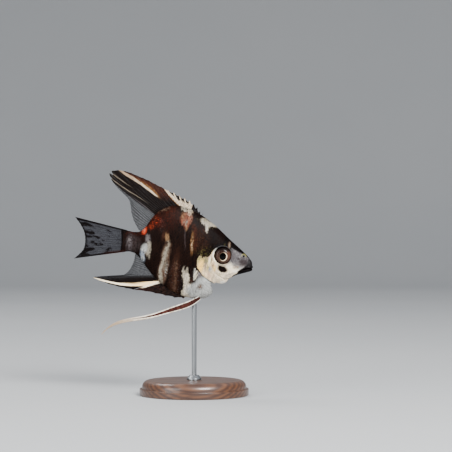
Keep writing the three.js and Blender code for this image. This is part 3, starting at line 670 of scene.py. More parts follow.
def marbling(paint, place):
    # lays the coat's colour from the place on the fish, and says how silvery it is
    placeU, _, placeW = paint.axes(place)
    wander = paint.grain(place, 0.45)
    ragged = paint.grain(place, 1.5, detail=4.0)
    crumbs = paint.grain(place, 1.9, (1, 1, 0.8), 2.0)
    specks = paint.grain(place, 3.4, (1, 1, 0.8), 3.0)
    streaks = paint.grain(place, 1.0, (1.7, 0.8, 0.25), 4.0)
    u = placeU + wander * 0.25 + ragged * 0.2 + streaks * 0.15
    w = placeW + ragged * 0.3 + streaks * 0.45
    paint.ground(soft(streaks + 0.1, 0.9) * soft(7.0 - u, 1.5), "bar", "barLight")
    shine = streaks * 0

    def lay(mask, name, level):
        nonlocal shine
        paint.cover(mask, name)
        shine = paint.node("Mix", {"data_type": "FLOAT"}, {0: mask, 2: shine, 3: level})

    def layMarks(listed, u, w, within=None):
        place = paint.node("CombineXYZ", None, {0: u, 1: w, 2: 1.0})
        for mark in listed:
            if "points" in mark:
                mask = stripe(u, w, mark["points"], mark["soft"])
            else:
                mask = spot(place, mark["at"], mark["size"], mark["turn"], mark["soft"])
            for noise, name in ((crumbs, "crumbs"), (specks, "specks")):
                if name in mark:
                    mask = mask * soft(noise, 0.5, 1 - 1.7 * mark[name])
            if "strength" in mark:
                mask = mask * mark["strength"]
            lay(mask * within if within else mask, mark["tint"], mark.get("shine", 0.0))
        return place

    layMarks(marks, u, w)
    threads = soft(-streaks - specks * 0.3 - 0.35, 0.4) * soft(6.5 - placeU, 1.0)
    paint.cover(threads * 0.5, "bar")

    # the head: lilac snout and pearly cheek and gill cover, each with its small marks
    x, z = placeU + ragged * 0.12, placeW + ragged * 0.12
    snout = soft(x - 15.0, 0.6) * soft(profile(x, headEdges["cap"]) - z, 0.22)
    lay(snout, "lilac", 0.35)
    lay(snout * soft(-2.0 - z + crumbs, 1.6) * 0.6, "pearl", 0.5)
    lay(snout * soft(specks - 0.5, 0.5) * 0.5, "silver", 0.5)
    lay(snout * soft(-specks - 0.6, 0.5) * 0.6, "dusk", 0.2)
    torn = soft(10.0 - x, 1.5) * (streaks * 0.5 + specks * 0.4)
    rear = soft(x - profile(z, headEdges["rear"]) + torn * 0.35, 0.12)
    pale = rear * soft(profile(x, headEdges["top"]) - z + torn, 0.6)
    lay(pale, "ivory", 0.9)
    lay(pale * soft(10.5 - x, 1.5) * 0.45, "yellow", 0.9)
    lay(pale * soft(streaks + crumbs * 0.5, 0.8) * soft(12.0 - x, 2.0) * 0.6, "stripe", 0.8)
    lay(pale * soft(wander - ragged - 0.2, 0.7) * 0.35, "pink", 0.9)
    lay(pale * soft(-specks - 0.55, 0.5) * 0.3, "blueSilver", 0.9)
    head = layMarks(headMarks, x, z, most(pale, snout))

    # the dark muzzle and jaw, and the ticks over the eye
    muzzle = soft(x - profile(z, headEdges["muzzle"]) + crumbs * 0.15, 0.4)
    lay(muzzle, "smoke", 0.2)
    lay(muzzle * soft(crumbs + specks * 0.5, 0.8) * 0.35, "grey", 0.2)
    lay(muzzle * soft(-1.0 - z + crumbs * 0.6, 0.9), "bar", 0)
    jaw = soft(profile(x, headEdges["jaw"]) - z, 0.3) * soft(x - 16.4, 0.9)
    lay(jaw, "bar", 0)
    lay(jaw * soft(specks, 0.5) * 0.3, "smoke", 0)
    lay(spot(head, (14.0, 4.5), (0.35, 0.85), 8, 0.3) * soft(specks + 0.6, 0.5) * 0.85, "brown", 0.3)
    lay(spot(head, (14.05, 4.4), (0.2, 0.7), 8, 0.25) * 0.8, "stripe", 0.4)
    lay(spot(head, (12.5, 4.2), (0.2, 0.45), 0, 0.25) * 0.5, "olive", 0)

    # the pale rims of the eye and the nostril, and the socket painted black as shade in its hollow, browner
    # towards the snout
    r = ((x - eye["u"]) ** 2 + (z - eye["w"]) ** 2) ** 0.5
    rim = abs(r - eye["rim"])
    lay(soft(0.16 - rim, 0.14) * soft(10.6 - x, 0.5) * soft(2.6 - z, 0.4) * 0.8, "pearl", 0.6)
    lay(soft(0.13 - rim, 0.12) * soft(z - 1.6, 0.6) * 0.8, "grey", 0.2)
    lay(soft(2.9 - r, 0.1), "ink", 0)
    lay(soft(2.9 - r, 0.1) * soft(x - eye["u"] - 0.8, 1.2) * 0.8, "rust", 0)
    hole = ((x - nostril[0]) ** 2 + (z - nostril[1]) ** 2) ** 0.5
    lay(soft(0.18 - abs(hole - 0.7), 0.18) * soft(z - nostril[1] + 0.15, 0.3) * 0.5, "lime", 0.3)
    # the nostril's hole painted black as shade
    lay(soft(0.3 - hole, 0.16), "ink", 0)
    return shine, crumbs


def skinPaint():
    paint = Paint("marbled_skin")
    place = fishPlace(paint)
    shine, crumbs = marbling(paint, place)
    pores = paint.grain(place, 6.0, detail=2.0)
    paint.cover(soft(pores, 1.2) * 0.16, "ink")
    paint.finish(
        Roughness=0.44 - shine * 0.1 + pores * 0.03,
        Metallic=shine * 0.12,
        SpecularIORLevel=0.03,
        CoatWeight=shine * 0.3,
        CoatRoughness=0.25,
        Normal=paint.bump(pores + crumbs * 0.6, 0.00003, 0.6),
    )
    return paint


def scalePaint():
    # edge runs from 0 at a scale's root to 1 at its free end, tone is one number for each scale
    paint = Paint("scales")
    place = fishPlace(paint)
    shine, crumbs = marbling(paint, place)
    edge = paint.node("Attribute", {"attribute_name": "edge"}, output="Fac")
    tone = paint.node("Attribute", {"attribute_name": "tone"}, output="Fac")
    rim = soft(edge - 0.86, 0.1)
    paint.cover(rim * 0.22, "rust")
    paint.cover((1 - tone) * 0.28, "ink")
    rings = paint.maths("SINE", edge * 60.0)
    paint.finish(
        Roughness=0.4 - shine * 0.12 + tone * 0.06,
        Metallic=shine * 0.18,
        SpecularIORLevel=0.03,
        CoatWeight=shine * 0.35,
        CoatRoughness=0.22,
        Normal=paint.bump(rings * 0.4 + crumbs, 0.00002, 0.5),
    )
    return paint


def skinMesh(paint):
    # columns crowd towards the head, and the end columns fold flat onto themselves
    t = np.linspace(0, 1, 2001)
    density = 1 + 2.1 * (1 - ease(t, 0.27, 0.42)) + 6 * bell(t, 0.012) + 4 * bell(1 - t, 0.01)
    spent = np.concatenate([[0], np.cumsum((density[1:] + density[:-1]) / 2)])
    columns, rings = body["columns"], body["rings"]
    t = np.interp(np.linspace(0, spent[-1], columns), spent, t)[:, None]
    angle = (np.arange(rings) + 0.5) / rings * 2 * np.pi
    points = skinPoint(t, angle[None, :])
    number = np.arange(columns * rings).reshape(columns, rings)
    folded = np.minimum(np.arange(rings), rings - 1 - np.arange(rings))
    for end in (0, columns - 1):
        number[end] = number[end, 0] + folded
    triangles = number.ravel()[gridTriangles(columns, rings, closeColumns=True)]
    return addMesh("skin", toRow(points.reshape(-1, 3)), triangles, paint)


flesh = ("head", "lower_jaw", "gill_cover_right", "gill_cover_left", "trunk", "tail_stem")
settle(skinMesh(skinPaint()), "marbled_skin", *flesh)
print("the skin is made")


scales = {
    "flank": {"pitch": 1.12, "row": 1.06, "first": 0.2, "last": 0.985,
              "length": 1.75, "width": 1.4, "rise": 0.15},
    "head": {"pitch": 0.66, "row": 0.62, "first": 0.16, "last": 0.52,
             "length": 1.7, "width": 1.35, "rise": 0.07},
    "across": 5,
    "along": 4,
    "thickness": 0.04,
    "taper": 0.26,
    "sunk": 0.035,  # how deep the root is set in the skin
    "cup": 0.3,  # how far the sides bend down, as a share of the rise
    "sizes": (0.94, 1.06),
    "stretches": (0.75, 1.25),
    "rises": (0.8, 1.25),
    "tilts": (-0.02, 0.02),
    "patch": 0.003,  # how much of the bake's map one scale takes
}


def onFlank(u, w):
    gap, _, side = nearCurve(u, w, lines["shoulder"], reach=40)
    return (side < 0) & (gap > 0.15) & (u > -21.2)


def onHead(u, w):
    gap, _, side = nearCurve(u, w, lines["shoulder"], reach=40)
    r = np.hypot(u - eye["u"], w - eye["w"])
    seam = nearCurve(u, w, lines["cheekEdge"])[0]
    bare = np.hypot((u - 20.0) / 5.4, (w - 0.5) / 5.2) < 1
    nape = (w > 2.5) & (u > 13)
    return (side > 0) & (gap > 0.12) & (r > 3.5) & (seam > 0.22) & ~bare & ~nape & (w > -7.6)


def scaleRoots(spec, side, keep):
    # Columns a half pitch apart along the middle of the flank. In a column the roots are one row
    # apart along the section's own arc, and every other column is moved by half a row.
    t = np.linspace(spec["first"], spec["last"], 600)
    half = np.pi / 2 if side < 0 else 3 * np.pi / 2
    middle = bodyPoint(t, half)
    run = np.concatenate([[0], np.cumsum(np.linalg.norm(np.diff(middle, axis=0), axis=1))])
    columnT = np.interp(np.arange(0, run[-1], spec["pitch"] / 2), run, t)
    angle = (0 if side < 0 else np.pi) + np.linspace(0.03, np.pi - 0.03, 240)
    found = []
    for j, columnAt in enumerate(columnT):
        section = bodyPoint(columnAt, angle)
        arc = np.concatenate([[0], np.cumsum(np.linalg.norm(np.diff(section, axis=0), axis=1))])
        arc -= np.interp(half, angle, arc)
        rows = np.arange(-40, 41) + 0.5 * (j % 2)
        rows = rows[(rows * spec["row"] > arc[0] + 0.2) & (rows * spec["row"] < arc[-1] - 0.2)]
        rowAngle = np.interp(rows * spec["row"], arc, angle)
        found.append(np.stack([np.full(len(rows), columnAt), rowAngle], -1))
    roots = np.concatenate(found)
    at = bodyPoint(roots[:, 0], roots[:, 1])
    return roots[keep(at[:, 0], at[:, 2])]


def scaleMesh(name, spec, side, keep, paint):
    # A scale is a thin curved shell from its root back to its round free end. Its outline is laid
    # out flat in (x back, y across) and carried onto the skin by the surface's own metric.
    roots = scaleRoots(spec, side, keep)
    n, across, along = len(roots), scales["across"], scales["along"]
    t, angle = roots.T[..., None, None]
    d = 1e-3
    alongT = (bodyPoint(t + d, angle) - bodyPoint(t - d, angle)) / (2 * d)
    roundA = (bodyPoint(t, angle + d) - bodyPoint(t, angle - d)) / (2 * d)
    back, cross = unit(alongT), unit(np.cross(np.cross(alongT, roundA), alongT))
    a = np.linspace(-1, 1, across)[:, None]
    b = np.linspace(0, 1, along) ** 0.9
    size = dice.uniform(*scales["sizes"], (n, 1, 1))
    speed = np.linalg.norm(alongT, axis=-1)
    stretch = np.clip(speed / speed.mean(), *scales["stretches"])
    x = spec["pitch"] * spec["length"] * size * stretch * b * (1 - scales["taper"] * a * a * b)
    y = spec["row"] * spec["width"] / 2 * size * a * (0.7 + 0.3 * np.sin(np.pi * np.minimum(b, 0.8) / 1.6))
    step = back * x[..., None] + cross * y[..., None]
    p, q = (step * alongT).sum(-1), (step * roundA).sum(-1)
    tt, ta, aa = (alongT ** 2).sum(-1), (alongT * roundA).sum(-1), (roundA ** 2).sum(-1)
    det = tt * aa - ta ** 2
    low = 0.0 if side < 0 else np.pi
    newT = np.clip(t + (p * aa - q * ta) / det, 0.002, 0.998)
    newA = np.clip(angle + (q * tt - p * ta) / det, low + 0.04, low + np.pi - 0.04)
    rise = spec["rise"] * dice.uniform(*scales["rises"], (n, 1, 1))
    tilt = dice.uniform(*scales["tilts"], (n, 1, 1))
    lift = -scales["sunk"] + rise * b - scales["cup"] * spec["rise"] * a * a * b + tilt * a
    top = skinPoint(newT, newA, lift)
    bottom = skinPoint(newT, newA, lift - scales["thickness"])
    points = np.stack([top, bottom], 1).reshape(-1, 3)
    count = 2 * across * along
    triangles = (shellTriangles(across, along)[None] + count * np.arange(n)[:, None, None]).reshape(-1, 3)
    patch = np.stack(np.broadcast_arrays(b - 0.5, a / 2), -1) * scales["patch"]
    home = np.stack([t, angle / (2 * np.pi)], -1)
    uv = np.stack([home + patch] * 2, 1).reshape(-1, 2)
    edge = np.stack([np.broadcast_to(b, newT.shape)] * 2, 1).ravel()
    tone = np.repeat(dice.uniform(0, 1, n), count)
    values = {"edge": edge, "tone": tone}
    return addMesh(name, toRow(points), triangles, paint, uv=uv, values=values, crease=50)


scaleLook = scalePaint()
for side, word in sideNames.items():
    settle(scaleMesh(f"flank_scales_{word}", scales["flank"], side, onFlank, scaleLook), "marbled_skin")
    settle(scaleMesh(f"head_scales_{word}", scales["head"], side, onHead, scaleLook), "marbled_skin")
print("the scales are laid")


finShape = {
    "rows": 90,
    "rootDepth": 0.55,
    "membrane": 0.035,  # half thicknesses in mm
    "thickest": 0.42,
    "quilt": 0.05,  # how far the rays lie to one side and the membrane to the other
    "fillet": (0.22, 0.8),  # how much thicker the root is, and how far that reaches
}


def rootAlong(line, first, last, outward, crowd=1.0):
    # a line inside the back or the belly, between two of its numbered points
    def at(r):
        t = between(first, last, np.asarray(r) ** crowd) / (len(body["back"]) - 1)
        place, ahead = line(t), line(t + 0.002) - line(t - 0.002)
        normal = np.stack([-ahead[..., 1], ahead[..., 0]], -1)
        return place - unit(normal) * finShape["rootDepth"] * outward

    return at


# notch, from the first ray to the last, and ragged are in mm. A cut in the edge has its place and
# half width across the rays, and its depth in mm.
fins = {
    "dorsal_fin_spines": {
        "rays": 12, "root": rootAlong(backLine, 6.0, 9.05, -1), "notch": (1.1, 0.15), "ragged": 0.3,
        "arch": 0.02, "sway": 0.0, "split": 0.0, "ray": (0.24, 0.07), "rayWidth": 0.17,
        "tip": [(3.3, 12.95), (0.2, 15.4), (-4.6, 17.25), (-10.2, 18.5), (-16.3, 20.1)],
    },
    "dorsal_fin_rays": {
        "rays": 22, "root": rootAlong(backLine, 9.0, 11.8, -1), "notch": (0.15, 0.3), "ragged": 0.3,
        "arch": 0.02, "sway": 0.3, "split": 0.2, "ray": (0.2, 0.05), "rayWidth": 0.13,
        "cuts": [(0.32, 0.012, 1.4), (0.385, 0.01, 1.0)],
        "tip": [(-16.2, 20.1), (-20.8, 21.15), (-25.2, 21.75), (-29.3, 20.75), (-29.0, 18.4), (-25.9, 15.6),
                (-22.2, 13.2), (-20.7, 10.6), (-19.6, 7.8), (-18.1, 5.3), (-16.5, 3.5)],
    },
    "anal_fin_spines": {
        "rays": 6, "root": rootAlong(bellyLine, 7.05, 9.12, 1), "notch": (0.6, 0.2), "ragged": 0.15,
        "arch": -0.02, "sway": 0.0, "split": 0.0, "ray": (0.24, 0.07), "rayWidth": 0.17,
        "tip": [(2.6, -15.9), (-1.1, -16.2), (-5.2, -16.1), (-9.2, -16.0), (-13.9, -16.3)],
    },
    "anal_fin_rays": {
        "rays": 22, "root": rootAlong(bellyLine, 9.13, 11.75, 1, 1.25), "notch": (0.3, 0.3), "ragged": 0.25,
        "arch": -0.015, "sway": -0.3, "split": 0.2, "ray": (0.2, 0.05), "rayWidth": 0.13,
        "tip": [(-14.2, -16.3), (-21.3, -16.2), (-28.0, -15.0), (-23.2, -14.0), (-18.9, -12.6),
                (-17.0, -10.4), (-16.3, -8.3), (-16.0, -6.4), (-16.0, -5.0)],
    },
    "caudal_fin": {
        "rays": 16, "root": smoothCurve([(-20.2, 2.6), (-19.7, -0.9), (-19.1, -4.5)]),
        "notch": (0.15, 0.15), "ragged": 0.12, "arch": 0.0, "sway": 0.35, "split": 0.24,
        "ray": (0.24, 0.06), "rayWidth": 0.16,
        "tip": [(-38.0, 3.45), (-35.4, 0.9), (-33.6, -1.8), (-33.0, -4.6), (-33.5, -7.2), (-35.6, -10.15)],
    },
}
raySteps = np.array([0, 0.05, 0.1, 0.16, 0.22, 0.3, 0.4, 0.5, 0.6, 0.7, 0.78, 0.84, 0.9, 0.95])


def rayLayout(rays):
    # the numbered places of the columns across a fin, their shares, and their distance from a ray
    steps = np.concatenate([(np.arange(rays - 1)[:, None] + raySteps).ravel(), [rays - 1]])
    return steps, steps / (rays - 1), np.abs(steps - np.round(steps))


def addFin(name, middle, half, across, along, ridge, paint):
    # a sheet with the shares across and along it and the height of its rays, on both faces
    uv = np.stack(np.broadcast_arrays(across, along), -1).reshape(-1, 2)
    return addMesh(name, toRow(shell(middle, half)), shellTriangles(*half.shape), paint,
                   uv=np.tile(uv, (2, 1)), uvName="fin", values={"ray": np.tile(ridge.ravel(), 2)})


def finMesh(name, spec, paint):
    # Each ray runs straight from root(r) to tip(r) with a slight arch, r going from the first ray
    # to the last. The membrane's edge hangs back between rays, and the rays stand out as ridges
    # that part in two further out.
    rays, rootLine, tipLine = spec["rays"], spec["root"], smoothCurve(spec["tip"])
    steps, r, gap = rayLayout(rays)
    root, tip = rootLine(r)[:, None], tipLine(r)[:, None]
    ragged = dice.uniform(0, spec["ragged"], rays)
    ragged[[0, -1]] = 0
    hang = between(*spec["notch"], r) * np.minimum(1, 3 * gap) ** 0.8
    short = np.interp(steps, np.arange(rays), ragged) + hang
    for place, width, depth in spec.get("cuts", []):
        short += depth * bell(r - place, width)
    run = tip - root
    s = np.linspace(0, 1, finShape["rows"]) * (1 - short[:, None] / np.linalg.norm(run, axis=-1))
    lift = (4 * spec["arch"] * s * (1 - s))[..., None]
    side = between(root, tip, s[..., None]) + np.stack([-run[..., 1], run[..., 0]], -1) * lift
    u, w = side[..., 0], side[..., 1]
    y = bend(u) + spec["sway"] * s * s * np.sin(9 * r[:, None])
    y += finShape["quilt"] * s * np.cos(2 * np.pi * steps)[:, None]

    def apart(line):
        # how far apart neighbouring rays are along a line, at each column
        spread = np.linalg.norm(np.gradient(line(np.linspace(0, 1, rays)), axis=0), axis=1)
        return np.interp(steps, np.arange(rays), spread)[:, None]

    off = np.abs(gap[:, None] - spec["split"] * ease(s, 0.4, 1.0))
    off = off * between(apart(rootLine), apart(tipLine), s)
    thick = between(*spec["ray"], s ** 0.7)
    far = np.linalg.norm(side - root, axis=-1)
    fillet, reach = finShape["fillet"]
    half = between(finShape["membrane"], thick, bell(off, spec["rayWidth"])) + fillet * bell(far, reach)
    ridge = bell(off, spec["rayWidth"] * 1.1)
    return addFin(name, np.stack([u, y, w], -1), np.minimum(half, finShape["thickest"]),
                  r[:, None], s, ridge, paint)


def finSheet(name):
    # a fin's material with the share across its rays, the share along them, and the rays themselves
    paint = Paint(name)
    across, along, _ = paint.axes(paint.node("UVMap", {"uv_map": "fin"}))
    return paint, across, along, paint.node("Attribute", {"attribute_name": "ray"}, output="Fac")


def finFinish(paint, alpha, along, ray):
    joints = paint.maths("SINE", along * 260.0) * ray
    paint.material.surface_render_method = "BLENDED"
    paint.finish(Roughness=0.42 - ray * 0.08, Alpha=alpha, SpecularIORLevel=0.06,
                 Normal=paint.bump(joints, 0.00001, 0.5))
    return paint


def dorsalSpinePaint():
    paint, r, s, ray = finSheet("dorsal_spines")
    grain = paint.grain(fishPlace(paint), 1.6)
    paint.ground(soft(grain, 0.8), "bar", "barLight")
    paint.cover(soft(r - 0.74, 0.12) * soft(s - 0.45, 0.3) * soft(grain + 0.4, 0.8) * 0.9, "russet")
    paint.cover(soft(ray - 0.5, 0.4) * soft(r - 0.6, 0.1) * 0.6, "bar")
    low = profile(r, [(0.27, 1.2), (0.33, 0.2), (0.4, -0.1), (0.6, -0.1), (0.68, 0.18), (0.76, 0.6),
                      (0.8, 1.2)])
    over = s - low + grain * 0.05
    solid = soft(over, 0.04) * soft(0.42 + soft(0.66 - r, 0.2) * 0.22 - over + grain * 0.08, 0.14)
    spikes = soft(over, 0.05) * soft(ray + grain * 0.35 - 0.3, 0.3) * soft(1.0 - over, 0.2)
    paint.cover(soft(over, 0.05), "bar")
    white = most(solid * (0.7 + soft(grain, 0.5) * 0.3), spikes)
    paint.cover(white, "sand")
    paint.cover(white * soft(grain + 0.1, 0.5) * 0.5, "chalk")
    edge = soft(0.06 - abs(over + 0.08), 0.06) * soft(r - 0.42, 0.1)
    paint.cover(edge * 0.9, "tan")
    return finFinish(paint, 0.9 + ray * 0.1, s, ray)


def dorsalRayPaint():
    paint, r, s, ray = finSheet("dorsal_rays")
    place = fishPlace(paint)
    grain = paint.grain(place, 1.4)
    across = r + grain * 0.006
    paint.ground(soft(grain, 0.8), "bar", "barLight")
    top = profile(s, [(0, 0.03), (0.43, 0.035), (0.65, 0.063), (0.81, 0.118), (0.88, 0.163), (0.95, 0.2)])
    band = soft(top - across, 0.012)
    paint.cover(band * soft(0.93 - s, 0.08) * soft(s - 0.4, 0.1), "russet")
    inner = soft(0.035 - abs(top - across - 0.02), 0.02) * soft(0.8 - s, 0.15) * soft(s - 0.4, 0.15)
    paint.cover(inner * soft(grain + 0.3, 0.7) * 0.7, "tan")
    cream = stripe(across, s, [(0.37, 0.047, 0.01, 0), (0.41, 0.05, 0.016, 1), (0.5, 0.07, 0.023, 1),
                               (0.65, 0.107, 0.032, 1), (0.8, 0.162, 0.036, 1), (0.88, 0.193, 0.027, 1),
                               (0.945, 0.217, 0.014, 0.9), (1.0, 0.23, 0.008, 0.6)], 0.01)
    paint.cover(cream, "sand")
    paint.cover(cream * soft(grain + 0.1, 0.6) * soft(0.85 - s, 0.12) * 0.35, "chalk")
    paint.cover(cream * soft(s - 0.74, 0.14) * 0.6, "camel")
    paint.cover(cream * ray * 0.4, "russet")
    lineA = stripe(across, s, [(0.55, 0.258, 0.002, 0), (0.65, 0.278, 0.004, 0.5),
                               (0.75, 0.293, 0.006, 0.8), (0.9, 0.308, 0.006, 0.8),
                               (1.0, 0.315, 0.004, 0.5)], 0.006)
    lineB = stripe(across, s, [(0.2, 0.3, 0.003, 0), (0.4, 0.321, 0.005, 0.7), (0.62, 0.361, 0.007, 0.8),
                               (0.9, 0.388, 0.006, 0.8), (1.0, 0.39, 0.004, 0.4)], 0.006)
    lineC = stripe(across, s, [(0.0, 0.46, 0.008, 0.3), (0.06, 0.454, 0.012, 0.7),
                               (0.24, 0.418, 0.012, 0.7), (0.4, 0.411, 0.01, 0.5),
                               (0.6, 0.42, 0.006, 0)], 0.008)
    paint.cover(lineA * 0.7, "stripe")
    paint.cover(lineB, "stripe")
    paint.cover(lineC, "lilac")
    clear = soft(across - 0.45, 0.012)
    paint.cover(clear * (1 - ray), "filmDorsal")
    alpha = 1 - clear * (1 - ray * 0.6) * (0.62 + grain * 0.15)
    return finFinish(paint, alpha, s, ray)


def analSpinePaint():
    paint, r, s, ray = finSheet("anal_spines")
    grain = paint.grain(fishPlace(paint), 1.5)
    paint.ground(soft(grain - 0.3, 0.8) * 0.8, "bar", "rust")
    paint.cover(soft(s - 0.72, 0.15) * soft(r - 0.8, 0.2) * 0.7, "mahogany")
    pale = soft(r - 0.94 + grain * 0.01, 0.025) * soft(s - 0.12, 0.08) * soft(0.72 - s, 0.12)
    paint.cover(pale, "ivory")
    return finFinish(paint, 0.92 + ray * 0.08, s, ray)


def analRayPaint():
    paint, r, s, ray = finSheet("anal_rays")
    grain = paint.grain(fishPlace(paint), 1.4)
    across = r + grain * 0.005
    paint.ground(soft(grain, 0.8), "bar", "barLight")
    cream = stripe(across, s, [(0.02, 0.01, 0.01, 0), (0.1, 0.02, 0.034, 1), (0.37, 0.035, 0.055, 1),
                               (0.6, 0.05, 0.052, 1), (0.8, 0.1, 0.032, 1), (0.88, 0.135, 0.035, 1),
                               (0.94, 0.19, 0.03, 1), (1.0, 0.23, 0.02, 1)], 0.01)
    paint.cover(cream, "ivory")
    paint.cover(cream * soft(0.3 - abs(s - 0.42), 0.15) * 0.6, "yellow")
    paint.cover(cream * soft(across - 0.08, 0.02) * soft(0.7 - s, 0.1) * 0.8, "tan")
    clear = soft(across - 0.24, 0.08)
    paint.cover(clear * (1 - ray * 0.6), "filmAnal")
    alpha = 1 - clear * (1 - ray * 0.5) * (0.62 + grain * 0.12)
    return finFinish(paint, alpha, s, ray)


def caudalPaint():
    paint, r, s, ray = finSheet("caudal")
    flow = paint.node("CombineXYZ", None, {0: r * 11.0, 1: s * 4.0})
    blots = paint.grain(flow, 1.0)
    fine = paint.grain(flow, 4.0, (1, 0.4, 1), 2.0)
    paint.ground(soft(fine, 0.8), "tailDark", "tailPale")
    dark = soft(blots - 0.36 + fine * 0.12 + soft(s - 0.74, 0.16) * 0.5, 0.16)
    base = soft(0.115 - s, 0.02)
    rear = soft(s - 0.95 + fine * 0.02, 0.03)
    edges = soft(abs(r - 0.5) - 0.44, 0.02)
    solid = most(most(dark, base), most(rear, edges))
    paint.cover(most(solid, ray * 0.35), "bar")
    paint.cover(soft(r - 0.9, 0.03) * soft(0.4 - s, 0.15) * 0.7, "mahogany")
    return finFinish(paint, 0.8 + solid * 0.18, s, ray)


finPaints = (dorsalSpinePaint, dorsalRayPaint, analSpinePaint, analRayPaint, caudalPaint)
for (name, spec), finPaint in zip(fins.items(), finPaints):
    slotName = "clear_fin" if name == "caudal_fin" else "dark_fin"
    settle(finMesh(name + "_rayed", spec, finPaint()), slotName, name)

pelvic = {
    "middle": [(7.9, 1.6, -14.4), (4.6, 2.1, -17.3), (-0.9, 2.8, -20.4), (-7.0, 3.3, -23.6),
               (-13.3, 3.5, -25.9), (-18.4, 3.4, -28.7), (-21.3, 3.2, -32.6)],
    "drop": [0, -0.3, -0.6, -1.0, -1.5, -1.2, 1.0],
    "width": [1.0, 1.9, 1.6, 1.1, 0.7, 0.42, 0.14],
    "leftDrop": 0.5,
    "bow": 0.25,
    "grid": (150, 25),
    "rays": [(0.9, 1, 0.22), (0.35, 0.5, 0.1), (-0.15, 0.45, 0.1), (-0.6, 0.4, 0.1)],
}


def pelvicMesh(side, paint):
    # A blade carried along its middle line, as wide as width says. The spine at its lower edge and
    # the rays stand out of it, each with its place across, height and width.
    middle = np.array(pelvic["middle"]) * (1, side, 1)
    middle[:, 2] += np.array(pelvic["drop"]) * (pelvic["leftDrop"] if side > 0 else 0)
    t, c = np.linspace(0, 1, pelvic["grid"][0]), np.linspace(-1, 1, pelvic["grid"][1])
    line = smoothCurve(middle)(t)
    run = unit(np.gradient(line[:, [0, 2]], axis=0))
    wide = smoothCurve([[v] for v in pelvic["width"]])(t)[:, 0] / 2
    reach = wide[:, None] * c[None, :]
    u = line[:, 0, None] - run[:, 1, None] * reach
    w = line[:, 2, None] + run[:, 0, None] * reach
    y = line[:, 1, None] + side * pelvic["bow"] * wide[:, None] * (1 - c * c)[None, :]
    spine = sum(height * bell(c - place, width) for place, height, width in pelvic["rays"])
    half = np.minimum(0.05 + 0.13 * spine[None, :] * (1 - 0.6 * t[:, None]), 0.25)
    half = np.minimum(half, 0.5 * wide[:, None] + 0.02)
    ridge = np.broadcast_to(np.minimum(spine, 1)[None, :], u.shape)
    name = "pelvic_fin_rayed_" + sideNames[side]
    return addFin(name, np.stack([u, y, w], -1), half, (c[None, :] + 1) / 2, t[:, None], ridge, paint)


def pelvicPaint():
    paint, c, t, ray = finSheet("pelvic")
    grain = paint.grain(fishPlace(paint), 1.2)
    paint.ground(soft(grain, 0.8), "pelvicDark", "pelvicRed")
    paint.cover(soft(0.12 - t, 0.1) * 0.7, "mahogany")
    reach = profile(t, [(0, 0.4), (0.25, 0.36), (0.4, 0.3), (0.55, 0.16), (0.7, 0.0), (0.85, -0.1)])
    edges = soft(abs(c - 0.5) - reach, 0.05)
    paint.cover(edges, "sand")
    paint.cover(edges * soft(grain + 0.2, 0.6) * soft(0.6 - t, 0.2) * 0.8, "pearl")
    seam = soft(0.035 - abs(abs(c - 0.5) - reach + 0.05), 0.03) * 0.7
    paint.cover(seam * soft(0.6 - t, 0.1), "bar")
    return finFinish(paint, 1 - soft(t - 0.72, 0.2) * 0.25, t, ray)


pectoral = {"rays": 11, "rows": 60, "length": 10.2, "flare": 0.5, "fan": (-0.02, 0.78),
            "top": (4.6, -5.1), "bottom": (4.9, -9.0)}


def locate(u, w):
    # t and angle of the section through a point of the side view, t found by halving
    front, rear = np.zeros(u.shape), np.ones(u.shape)
    for _ in range(30):
        t = (front + rear) / 2
        top, bottom = backLine(t), bellyLine(t)
        ahead = (u - top[..., 0]) * (bottom - top)[..., 1] - (w - top[..., 1]) * (bottom - top)[..., 0] > 0
        front, rear = np.where(ahead, t, front), np.where(ahead, rear, t)
    top, span = backLine(front), bellyLine(front) - backLine(front)
    down = ((u - top[..., 0]) * span[..., 0] + (w - top[..., 1]) * span[..., 1]) / (span ** 2).sum(-1)
    return front, np.arccos(1 - 2 * np.clip(down, 0, 1))


def pectoralMesh(side, paint):
    # rays fan out from a short line behind the gill cover, back and away from the flank
    _, r, gap = (numbers[:, None] for numbers in rayLayout(pectoral["rays"]))
    u0, w0 = (between(*ends, r) for ends in zip(pectoral["top"], pectoral["bottom"]))
    y0 = -bodyPoint(*locate(u0, w0), 0.0)[..., 1] - 0.15
    fan = between(*pectoral["fan"], r)
    reach = pectoral["length"] * (0.72 + 0.28 * np.sin(np.pi * (0.2 + 0.75 * r)))
    reach = reach * (1 - 0.05 * np.minimum(1, 3 * gap))
    s = np.linspace(0, 1, pectoral["rows"])[None, :]
    along = s * reach
    u = u0 - along * np.cos(fan) * np.cos(pectoral["flare"])
    y = y0 + along * np.sin(pectoral["flare"]) * (1 - 0.3 * r) + 0.35 * np.sin(3 * r) * s
    w = w0 - along * np.sin(fan)
    off = np.abs(gap - 0.2 * ease(s, 0.35, 1)) * between(0.4, 1.0, s)
    half = 0.03 + 0.1 * (1 - 0.6 * s) * bell(off, 0.1) + 0.15 * bell(along, 0.6)
    name = "pectoral_fin_rayed_" + sideNames[side]
    return addFin(name, np.stack([u, side * y, w], -1), half, r, s, bell(off, 0.12), paint)


def pectoralPaint():
    paint, _, s, ray = finSheet("pectoral")
    base = soft(0.05 - s, 0.04)
    paint.ground(base, "smoke", "pearl")
    alpha = 0.02 + ray * 0.09 + base * 0.3
    return finFinish(paint, alpha, s, ray)


pelvicLook, pectoralLook = pelvicPaint(), pectoralPaint()
for side, word in sideNames.items():
    settle(pelvicMesh(side, pelvicLook), "dark_fin", "pelvic_fin_" + word)
    settle(pectoralMesh(side, pectoralLook), "clear_fin", "pectoral_fin_" + word)
print("the fins are made")


iris = {"pupil": (12.67, 0.42), "pupilSize": (0.98, 1.08), "ring": 0.5}


